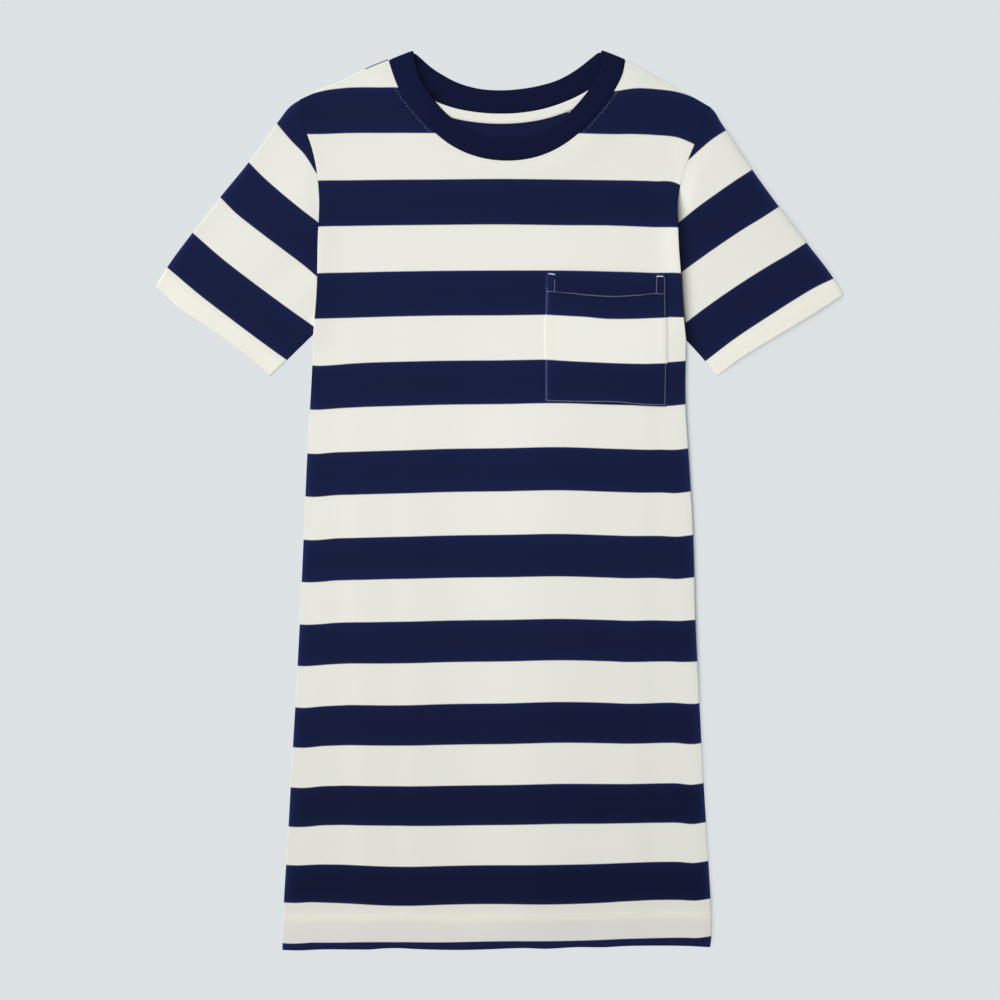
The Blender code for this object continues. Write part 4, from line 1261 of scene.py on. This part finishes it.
def make_sleeve(name, side, armhole, outer, cuff, under, material):
    """A flattened tube from the armhole to the cuff. side is -1 for the wearer's right, 1 for the left."""
    wall = cloth_sizes().wall / MM

    def flush(u):
        return soft_step(u, *FLUSH_FROM)

    root_top = moved_out(armhole, lambda u: side * (TUCK * (1 - flush(u)) + ROOT_UNDER * flush(u)))
    root_bottom = moved_out(back_armhole(armhole, side), -side * SEAM_GAP)
    lines = (line_through(cuff), line_through(under), line_through(outer))
    top, bottom = (patch(root, *lines, reach=FOLDS_REACH) for root in (root_top, root_bottom))

    def long(u):
        return np.linalg.norm(lines[0](u) - armhole(u), axis=-1)

    # rows: first as shares of what lies above the cuff's turn, then as distances from the cuff
    clear = CUFF_HEM + CUFF_STEP + 1.5
    root_rows = graded(long(0.7) - clear, 3.4, 1.0, 2.0)
    cuff_rows = (clear - 1.7, clear - 3.4, 22.4, 20.6, 18.8, 17.0, 15.2, 13.0, 10.0, 7.0, 5.0, 3.0, 1.6, 0.3)
    rows = [*((share, clear) for share in root_rows), *((1.0, away) for away in cuff_rows)]
    root_share = np.linspace(0.0, 1.0, SLEEVE_CELLS + 1)
    body_edge = front_over(armhole(root_share)[None])[0] - ROOT_SUNK[side]
    outer_rows, inner_rows = [], []
    for share, away in rows:

        def at_row(u):
            return share * (1 - away / long(u))

        from_cuff = long(0.5) * (1 - at_row(0.5))
        thick = wall + cuff_extra(from_cuff)
        high = 2 * thick + SLEEVE_INSIDE
        wide = np.linalg.norm(top(1.0, at_row(1.0)) - top(0.0, at_row(0.0)))
        for into, found in ((0.0, outer_rows), (thick, inner_rows)):
            radius = high / 2 - into
            layer = sleeve_layer_shares(wide, high, SLEEVE_CELLS)
            edge = layer[0]
            lift = sleeve_lift(layer, wide, at_row(0.5), side)
            reach = ROOT_REACH + ROOT_REACH_MORE * flush(layer)
            near_root = 1 - soft_step(at_row(layer) * long(layer), 0.0, reach)
            at_edge = np.interp(layer, root_share, body_edge)
            tucked = TUCKED_TOP if side > 0 else at_edge - wall - 0.2
            root_z = tucked + (at_edge - tucked) * flush(layer)
            z = high + lift
            z = z + (root_z - z) * near_root
            upper = with_height(top(layer, at_row(layer)), z - into)
            lower = with_height(bottom(layer, at_row(layer)), np.full(layer.shape, into))
            folds = []
            for fold_at, outwards, turns in ((1 - edge, 1, FOLD_TURNS), (edge, -1, FOLD_TURNS[::-1])):
                top_z = (z[-1] if outwards > 0 else z[0]) / 2
                for angle in np.radians(turns):
                    at = fold_at + outwards * radius * math.cos(angle) / wide
                    plan = (top(at, at_row(at)) + bottom(at, at_row(at))) / 2
                    folds.append([*plan, top_z + (top_z - into) * math.sin(angle)])
            found.append(np.concatenate([upper, folds[:5], lower[::-1], folds[5:]]))
    outer_rows, inner_rows = np.array(outer_rows), np.array(inner_rows)
    rim = (outer_rows[-1] + inner_rows[-1]) / 2
    way = outer_rows[-1] - outer_rows[-2]
    rim[:, :2] += CUFF_LIP * way[:, :2] / np.linalg.norm(way[:, :2], axis=1)[:, None]
    every = np.concatenate([outer_rows.reshape(-1, 3), inner_rows.reshape(-1, 3), rim])
    share_shaded = soft_step(-every[:, 1], -SHADED_TO[name][1], -SHADED_TO[name][0])
    from_body = distance_to(every[:, :2], armhole) / np.maximum(share_shaded, 0.01)
    maps = {
        "cloth": sleeve_stripes(every[:, :2], name),
        "seams": np.stack([distance_to(every[:, :2], lines[0]), np.minimum(from_body, 99.0)], axis=-1),
        "edges": edge_map(every[:, :2], SLEEVE_EDGES[name], (lines[2], lines[0])),
    }
    return put_tube(f"{name}_cloth", outer_rows, inner_rows, rim, maps, material)


class DRESS_OT_sleeves(bpy.types.Operator):
    """Make both sleeves"""

    bl_idname = "dress.sleeves"
    bl_label = "Sleeves"

    def execute(self, context):
        jersey = striped_jersey("sleeve jersey", CUFF_HEM, beside="body")
        for name, side, *lines in (
            ("sleeve_right", -1, armhole_right, OUTER_RIGHT, CUFF_RIGHT, UNDER_RIGHT),
            ("sleeve_left", 1, armhole_left, OUTER_LEFT, CUFF_LEFT, UNDER_LEFT),
        ):
            sleeve = make_sleeve(name, side, *lines, jersey)
            finish_cloth(sleeve, [name])
        return {"FINISHED"}


class DRESS_OT_neckline(bpy.types.Operator):
    """Make the ribbed neckband and the tape inside the back neck"""

    bl_idname = "dress.neckline"
    bl_label = "Neckline"

    def execute(self, context):
        self.make_band()
        self.make_tape()
        return {"FINISHED"}

    def make_band(self):
        half = RIB / 2
        # how far across the band, in mm from the seam (or back from the free edge), and how far out
        outer_face = ((0.0, 0.5), (0.5, 0.82), (1.4, 1.0), (4.0, 1.1), (8.0, 1.18), (12.0, 1.18))
        free_edge = ((-6.0, 1.12), (-3.0, 1.05), (-1.2, 0.98), (-0.4, 0.66), (0.0, 0.0), (-0.4, -0.66))
        inner_face = ((-1.2, -0.98), (-6.0, -1.0), (12.0, -1.0), (4.0, -1.0), (0.6, -0.9), (0.0, -0.5))
        sections, along = [], []
        for seam, free, seam_out, free_out in band_stations():
            across = free - seam
            wide = np.linalg.norm(across)
            section, run = [], []
            for place, out in (*outer_face, *free_edge, *inner_face):
                from_end = place < 0 or (place, out) == (0.0, 0.0)
                share = (wide + place) / wide if from_end else place / wide
                normal = unit(seam_out * (1 - share) + free_out * share)
                section.append(seam + across * share + normal * out * half)
                run.append(share * wide)
            sections.append(section)
            along.append(run)
        sections, across = np.array(sections), np.array(along)
        count, corners = sections.shape[:2]
        middle = sections.mean(axis=1)
        step = np.linalg.norm(np.roll(middle, -1, axis=0) - middle, axis=1)
        run = np.concatenate([[0.0], np.cumsum(step)[:-1]])
        index = np.arange(count * corners).reshape(count, corners)
        j, n = np.roll(np.arange(count), -1), np.roll(np.arange(corners), -1)
        faces = np.stack([index, index[:, n], index[j][:, n], index[j]], axis=-1).reshape(-1, 4)
        flat = sections.reshape(-1, 3)
        # Painted shadow on the back half beside the front's free edge, and painted light on the front half,
        # both at the wearer's right
        away = distance_to(flat[:, :2], line_through(FRONT_FREE), 500)
        shadow_under_front = np.exp(-((away / 4.0) ** 2)) * (flat[:, 2] < RIB + 0.5)
        shadow_under_front *= soft_step(-flat[:, 0], 45.0, 62.0)
        towards_light = 0.3 * soft_step(-flat[:, 0], 45.0, 100.0) * (flat[:, 2] > RIB)
        maps = {
            "cloth": np.stack([np.repeat(run, corners), across.ravel()], axis=-1),
            "seams": np.stack([shadow_under_front * 0.95, towards_light], axis=-1),
        }
        band = put_piece("neckband_rib", sections, faces, maps, navy_rib("navy rib"))
        finish_cloth(band, ["neckband"])

    def make_tape(self):
        shares = neck_shares(back_seam, 130)[1:-1]
        down = np.linspace(0.0, TAPE_WIDE, 9)
        plan = np.stack([moved_out(back_seam, -0.2 - d)(shares) for d in down[::-1]])
        base = np.full(plan.shape[:2], WALL + 0.1)
        over = base + 0.9 - 0.12 * np.cos(2 * math.pi * down[::-1] / TAPE_WIDE)[:, None] ** 2
        run = shares * arc_length(back_seam)
        across = np.repeat(down[::-1, None], len(run), axis=1)
        cloth_map = np.stack([np.broadcast_to(run, across.shape), across], axis=-1)
        tape = put_sheet("neck_tape_twill", plan, over, base, {"cloth": cloth_map}, cream_twill("cream twill"))
        finish_cloth(tape, ["neck_tape"])


class DRESS_OT_pocket(bpy.types.Operator):
    """Make the chest pocket"""

    bl_idname = "dress.pocket"
    bl_label = "Pocket"

    def execute(self, context):
        plan_of = patch(*(line_through(p) for p in (POCKET_BOTTOM, POCKET_MOUTH, POCKET_INNER, POCKET_OUTER)))
        columns, rows = (graded(size, POCKET_CELL, *[POCKET_EDGE_CELL] * 2) for size in POCKET_SIZE)
        plan = plan_of(*np.meshgrid(columns, rows))
        over = pocket_over(plan)
        under = front_over(plan) + 0.08
        from_mouth = from_table(plan[..., 0], POCKET_MOUTH) - plan[..., 1]
        from_inner = distance_to(plan, line_through(POCKET_INNER))
        maps = {
            "cloth": pocket_stripes(plan),
            "seams": np.stack([from_mouth, from_inner], axis=-1),
            "edges": np.stack([from_inner, np.full(from_inner.shape, -1.0)], axis=-1),
        }
        jersey = striped_jersey("pocket jersey", beside="pocket edge", lighter=POCKET_LIGHTER)
        pocket = put_sheet("pocket_cloth", plan, over, under, maps, jersey)
        finish_cloth(pocket, ["pocket"])
        return {"FINISHED"}


def model_stitch(name):
    """One stitch of unit length and thickness: a short thread that dips into the cloth at both ends."""
    bpy.ops.object.select_all(action="DESELECT")
    bpy.ops.mesh.primitive_cylinder_add(vertices=6, radius=0.5, depth=1.0, rotation=(0.0, math.pi / 2, 0.0))
    stitch = bpy.context.object
    stitch.name = name
    bpy.ops.object.transform_apply(location=True, rotation=True, scale=True)
    bpy.ops.object.mode_set(mode="EDIT")
    for place in (-0.27, 0.27):
        bpy.ops.mesh.select_all(action="SELECT")
        bpy.ops.mesh.bisect(plane_co=(place, 0.0, 0.0), plane_no=(1.0, 0.0, 0.0))
    bpy.ops.object.mode_set(mode="OBJECT")
    for point in stitch.data.vertices:
        point.select = abs(point.co.x) > 0.45
    bpy.ops.object.mode_set(mode="EDIT")
    bpy.ops.mesh.select_mode(type="VERT")
    bpy.ops.transform.resize(value=(1.0, 0.5, 0.5))
    bpy.ops.transform.translate(value=(0.0, 0.0, -0.45))
    bpy.ops.object.mode_set(mode="OBJECT")
    return stitch


def stations(points, pitch, start=0.0):
    """Points a pitch apart along a line, and its direction at each."""
    line = line_through(points) if not callable(points) else points
    length = arc_length(line)
    shares = np.arange(start + pitch / 2, length, pitch) / length
    ahead = line(np.minimum(shares + 0.001, 1.0)) - line(np.maximum(shares - 0.001, 0.0))
    return line(shares), units(ahead)


def sew(name, stitch, rows, material):
    """Copies of one stitch along rows, as one piece. A row gives places, directions, length and thickness."""
    pattern = np.array([v.co for v in stitch.data.vertices])
    cells = [list(face.vertices) for face in stitch.data.polygons]
    points, faces = [], []
    for places, ahead, long, thick in rows:
        for place, forward, sideways in zip(places, ahead, to_the_left(ahead)):
            plan = pattern[:, :1] * long * forward + pattern[:, 1:2] * thick * sideways
            copy = np.column_stack([place[:2] + plan, place[2] + pattern[:, 2] * thick])
            faces += [[k + len(points) * len(pattern) for k in cell] for cell in cells]
            points.append(copy)
    mesh = bpy.data.meshes.new(name)
    mesh.from_pydata(((np.concatenate(points) - (*CENTRE, 0.0)) * MM).tolist(), [], faces)
    mesh.shade_smooth()
    mesh.materials.append(material)
    made = link(name, mesh)
    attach(made, "root")
    return made


def row_on(surface, line, kind, thick, to_sides=0.0):
    """A row of stitches of a kind along a line on a surface, or a zigzag that reaches to_sides of it."""
    pitch, long, lift, times = kind
    places, ahead = stations(line, pitch)
    if to_sides:
        places, ahead = zigzag(places, ahead, to_sides)
    return np.column_stack([places, surface(places) + lift]), ahead, long, thick * times


def zigzag(places, ahead, by):
    """Every other stitch set to one side, and turned with the zigzag."""
    way = np.where(np.arange(len(places)) % 2, 1.0, -1.0)[:, None]
    side = to_the_left(ahead)
    return places + way * by * side, units(ahead + ZIGZAG_TURN * way * side)


class DRESS_OT_stitching(bpy.types.Operator):
    """Sew the neck, the pocket, the cuffs and the hem"""

    bl_idname = "dress.stitching"
    bl_label = "Stitching"

    def execute(self, context):
        sizes = context.scene.dress_stitching
        thick = sizes.thick / MM
        thread = spun_thread("cream thread", sizes.thread)
        stitch = model_stitch("stitch")
        sew("neck_stitching", stitch, self.neck_rows(thick), thread)
        sew("pocket_stitching", stitch, self.pocket_rows(thick), thread)
        sew("hem_stitching", stitch, self.hem_rows(thick), thread)
        sew("cuff_stitching", stitch, self.cuff_rows(thick), thread)
        bpy.data.objects.remove(stitch, do_unlink=True)
        return {"FINISHED"}

    def neck_rows(self, thick):
        line = moved_out(front_seam, -NECK_STITCH_OUT)
        inner = function_of(line(np.linspace(0.02, 0.98, 400)), np.linspace(0.0, 1.0, 400))
        yield row_on(front_over, inner, NECK_ROW, thick)

    def pocket_rows(self, thick):
        for points in (POCKET_STITCH_INNER, POCKET_STITCH_OUTER):
            yield row_on(pocket_over, points, POCKET_EDGE_ROW, thick, ZIGZAG_OUT)
        for points in (POCKET_STITCH_BOTTOM, POCKET_STITCH_HEM, *POCKET_STITCH_TURNS):
            yield row_on(pocket_over, points, POCKET_ROW, thick)
        for start, end in BARTACKS:
            across = unit(np.subtract(end, start))
            for offset in BARTACK_LINES:
                side = np.array([-across[1], across[0]]) * offset
                yield row_on(pocket_over, (np.add(start, side), np.add(end, side)), BARTACK_ROW, thick)

    def hem_rows(self, thick):
        x = np.linspace(HEM[0][0] + 2.5, HEM[-1][0] - 2.5, 400)
        for depth in HEM_STITCHES:
            line = line_through(np.column_stack([x, from_table(x, HEM) + depth])[::12])
            yield row_on(front_over, line, HEM_ROW, thick)

    def cuff_rows(self, thick):
        pitch, long, lift, times = CUFF_ROW
        for cuff, side in ((CUFF_RIGHT, -1.0), (CUFF_LEFT, 1.0)):
            line = line_through(cuff)
            for depth in CUFF_STITCHES:
                row = moved_out(line, side * depth)
                places, ahead = stations(row, pitch, start=2.0)
                height = self.cuff_height(row, places[:-1], depth, side) + lift
                yield np.column_stack([places[:-1], height]), ahead[:-1], long, thick * times

    def cuff_height(self, row, places, depth, side):
        """Height of a cuff's upper face at places along a row."""
        share = np.linspace(0.0, 1.0, len(places))
        wall = WALL + cuff_extra(np.full(share.shape, depth))
        return 2 * wall + SLEEVE_INSIDE + sleeve_lift(share, arc_length(row), 1.0, side)


class DRESS_OT_stage(bpy.types.Operator):
    """Make the floor, the lights and the camera"""

    bl_idname = "dress.stage"
    bl_label = "Stage"

    def execute(self, context):
        sizes = context.scene.dress_stage
        self.make_floor(sizes)
        self.make_side_shadows()
        self.make_lights(sizes)
        self.make_camera(sizes)
        context.scene.view_settings.view_transform = "Standard"
        context.scene.view_settings.look = "None"
        return {"FINISHED"}

    def make_floor(self, sizes):
        """A wide sweep of paper, level under the dress and turned up far from it."""
        profile = [
            (0.0, 0.0), (1.0, 0.0), (2.4, 0.0), (3.0, 0.03), (3.6, 0.14), (4.2, 0.36), (4.8, 0.75), (5.3, 1.35),
        ]
        turns = 72
        points, faces = [(0.0, 0.0, -FLOOR_BELOW)], []
        for radius, height in profile[1:]:
            for k in range(turns):
                angle = 2 * math.pi * k / turns
                points.append((radius * math.cos(angle), radius * math.sin(angle), height - FLOOR_BELOW))
        for k in range(turns):
            faces.append((0, 1 + k, 1 + (k + 1) % turns))
        for ring in range(len(profile) - 2):
            for k in range(turns):
                here, there = 1 + ring * turns + k, 1 + ring * turns + (k + 1) % turns
                faces.append((here, here + turns, there + turns, there))
        mesh = bpy.data.meshes.new("floor")
        mesh.from_pydata(points, [], faces)
        mesh.shade_smooth()
        mesh.materials.append(self.paper(sizes.floor))
        link("floor", mesh)

    def make_side_shadows(self):
        """The soft dark lines on the floor beside the edges that face away from the light."""
        dark = self.shadow()
        for name, points, strengths in (
            ("side_shadow", SIDE_LEFT[::-1], SIDE_SHADOW),
            ("fold_shadow", OUTER_LEFT, FOLD_SHADOW),
            ("cuff_shadow", CUFF_LEFT[::-1], CUFF_SHADOW),
        ):
            line = line_through(points)
            shares = np.linspace(0.0, 1.0, 60)
            plan = np.stack([moved_out(line, away)(shares) for away in SHADOW_OUT], axis=1)
            index = np.arange(plan[..., 0].size).reshape(plan.shape[:2])
            points = with_height(plan, np.full(plan.shape[:2], 0.02)).reshape(-1, 3)
            strength = from_table(line(shares)[:, 1], strengths)
            pairs = np.broadcast_to(SHADOW_OUT, index.shape), np.broadcast_to(strength[:, None], index.shape)
            put_piece(name, points, grid_faces(index), {"cloth": np.stack(pairs, -1)}, dark)

    def shadow(self):
        finish = Finish("side shadow")
        away, depth = finish.map("cloth")
        near = finish.maths("POWER", away.clamped_low() * (1.0 / 2.4), 1.5)
        share = (near * -1.0).power_of_e() * depth * 0.72
        clear = finish.node("BsdfTransparent", {}, {})
        dark = finish.node("BsdfDiffuse", {}, {"Color": (0.02, 0.02, 0.025, 1.0)})
        both = finish.node("MixShader", {}, {0: share, 1: clear, 2: dark})
        return finish.closed(both)

    def paper(self, colour):
        finish = Finish("pale paper")
        glow = finish.node("Emission", {}, {"Color": (*colour, 1.0), "Strength": 0.96})
        matt = finish.node("BsdfDiffuse", {}, {"Color": linear(colour, 0.05)})
        both = finish.node("AddShader", {}, {0: glow, 1: matt})
        return finish.closed(both)

    def make_lights(self, sizes):
        world = bpy.data.worlds.new("soft light")
        world.use_nodes = True
        backdrop = world.node_tree.nodes["Background"]
        backdrop.inputs["Color"].default_value = (*sizes.floor, 1.0)
        backdrop.inputs["Strength"].default_value = sizes.sky
        bpy.context.scene.world = world
        key = bpy.data.lights.new("key light", "SUN")
        key.energy = sizes.sun
        key.angle = math.radians(20.0)
        key.color = (1.0, 1.0, 0.985)
        self.hang(key, Vector((-0.78, 0.62, 0.9)), (0.0, 0.0, 0.0))
        lamp = bpy.data.lights.new("lamp overhead", "AREA")
        lamp.shape = "DISK"
        lamp.size = 0.5
        lamp.energy = sizes.lamp
        self.hang(lamp, Vector((-0.11, 0.2, 1.0)), (-0.11, 0.2, 0.0))

    def hang(self, light, place, aim):
        lit = bpy.data.objects.new(light.name, light)
        lit.location = place
        lit.rotation_euler = (place - Vector(aim)).to_track_quat("Z", "Y").to_euler()
        lit.visible_camera = False
        bpy.context.scene.collection.objects.link(lit)

    def make_camera(self, sizes):
        """Above the dress, leaning a little towards its hem."""
        view = bpy.data.cameras.new("camera")
        view.lens = sizes.lens
        view.sensor_width = 36.0
        view.clip_start = 0.05
        camera = bpy.data.objects.new("camera", view)
        camera.location = (0.4 * MM - CENTRE[0] * MM, 0.2325 - CENTRE[1] * MM, 1.375)
        camera.rotation_euler = (math.radians(-8.7), 0.0, 0.0)
        bpy.context.scene.collection.objects.link(camera)
        bpy.context.scene.camera = camera


class DRESS_PT_panel(bpy.types.Panel):
    """The dress's pieces and settings"""

    bl_label = "Striped dress"
    bl_idname = "DRESS_PT_panel"
    bl_space_type = "VIEW_3D"
    bl_region_type = "UI"
    bl_category = "Dress"

    def draw(self, context):
        for group in (context.scene.dress_cloth, context.scene.dress_stitching, context.scene.dress_stage):
            box = self.layout.box()
            for name in group.__annotations__:
                box.prop(group, name)
        for maker in OPERATORS:
            self.layout.operator(maker.bl_idname)


SETTINGS = {"dress_cloth": ClothSettings, "dress_stitching": StitchSettings, "dress_stage": StageSettings}
OPERATORS = (
    DRESS_OT_body, DRESS_OT_sleeves, DRESS_OT_neckline, DRESS_OT_pocket, DRESS_OT_stitching, DRESS_OT_stage,
)


def register():
    for made in (*SETTINGS.values(), *OPERATORS, DRESS_PT_panel):
        bpy.utils.register_class(made)
    for name, group in SETTINGS.items():
        setattr(bpy.types.Scene, name, bpy.props.PointerProperty(type=group))


def unregister():
    for name in SETTINGS:
        delattr(bpy.types.Scene, name)
    for made in (DRESS_PT_panel, *reversed(OPERATORS), *reversed(SETTINGS.values())):
        bpy.utils.unregister_class(made)


def main():
    register()
    bpy.ops.dress.body()
    bpy.ops.dress.sleeves()
    bpy.ops.dress.neckline()
    bpy.ops.dress.pocket()
    bpy.ops.dress.stitching()
    bpy.ops.dress.stage()


if __name__ == "__main__":
    main()
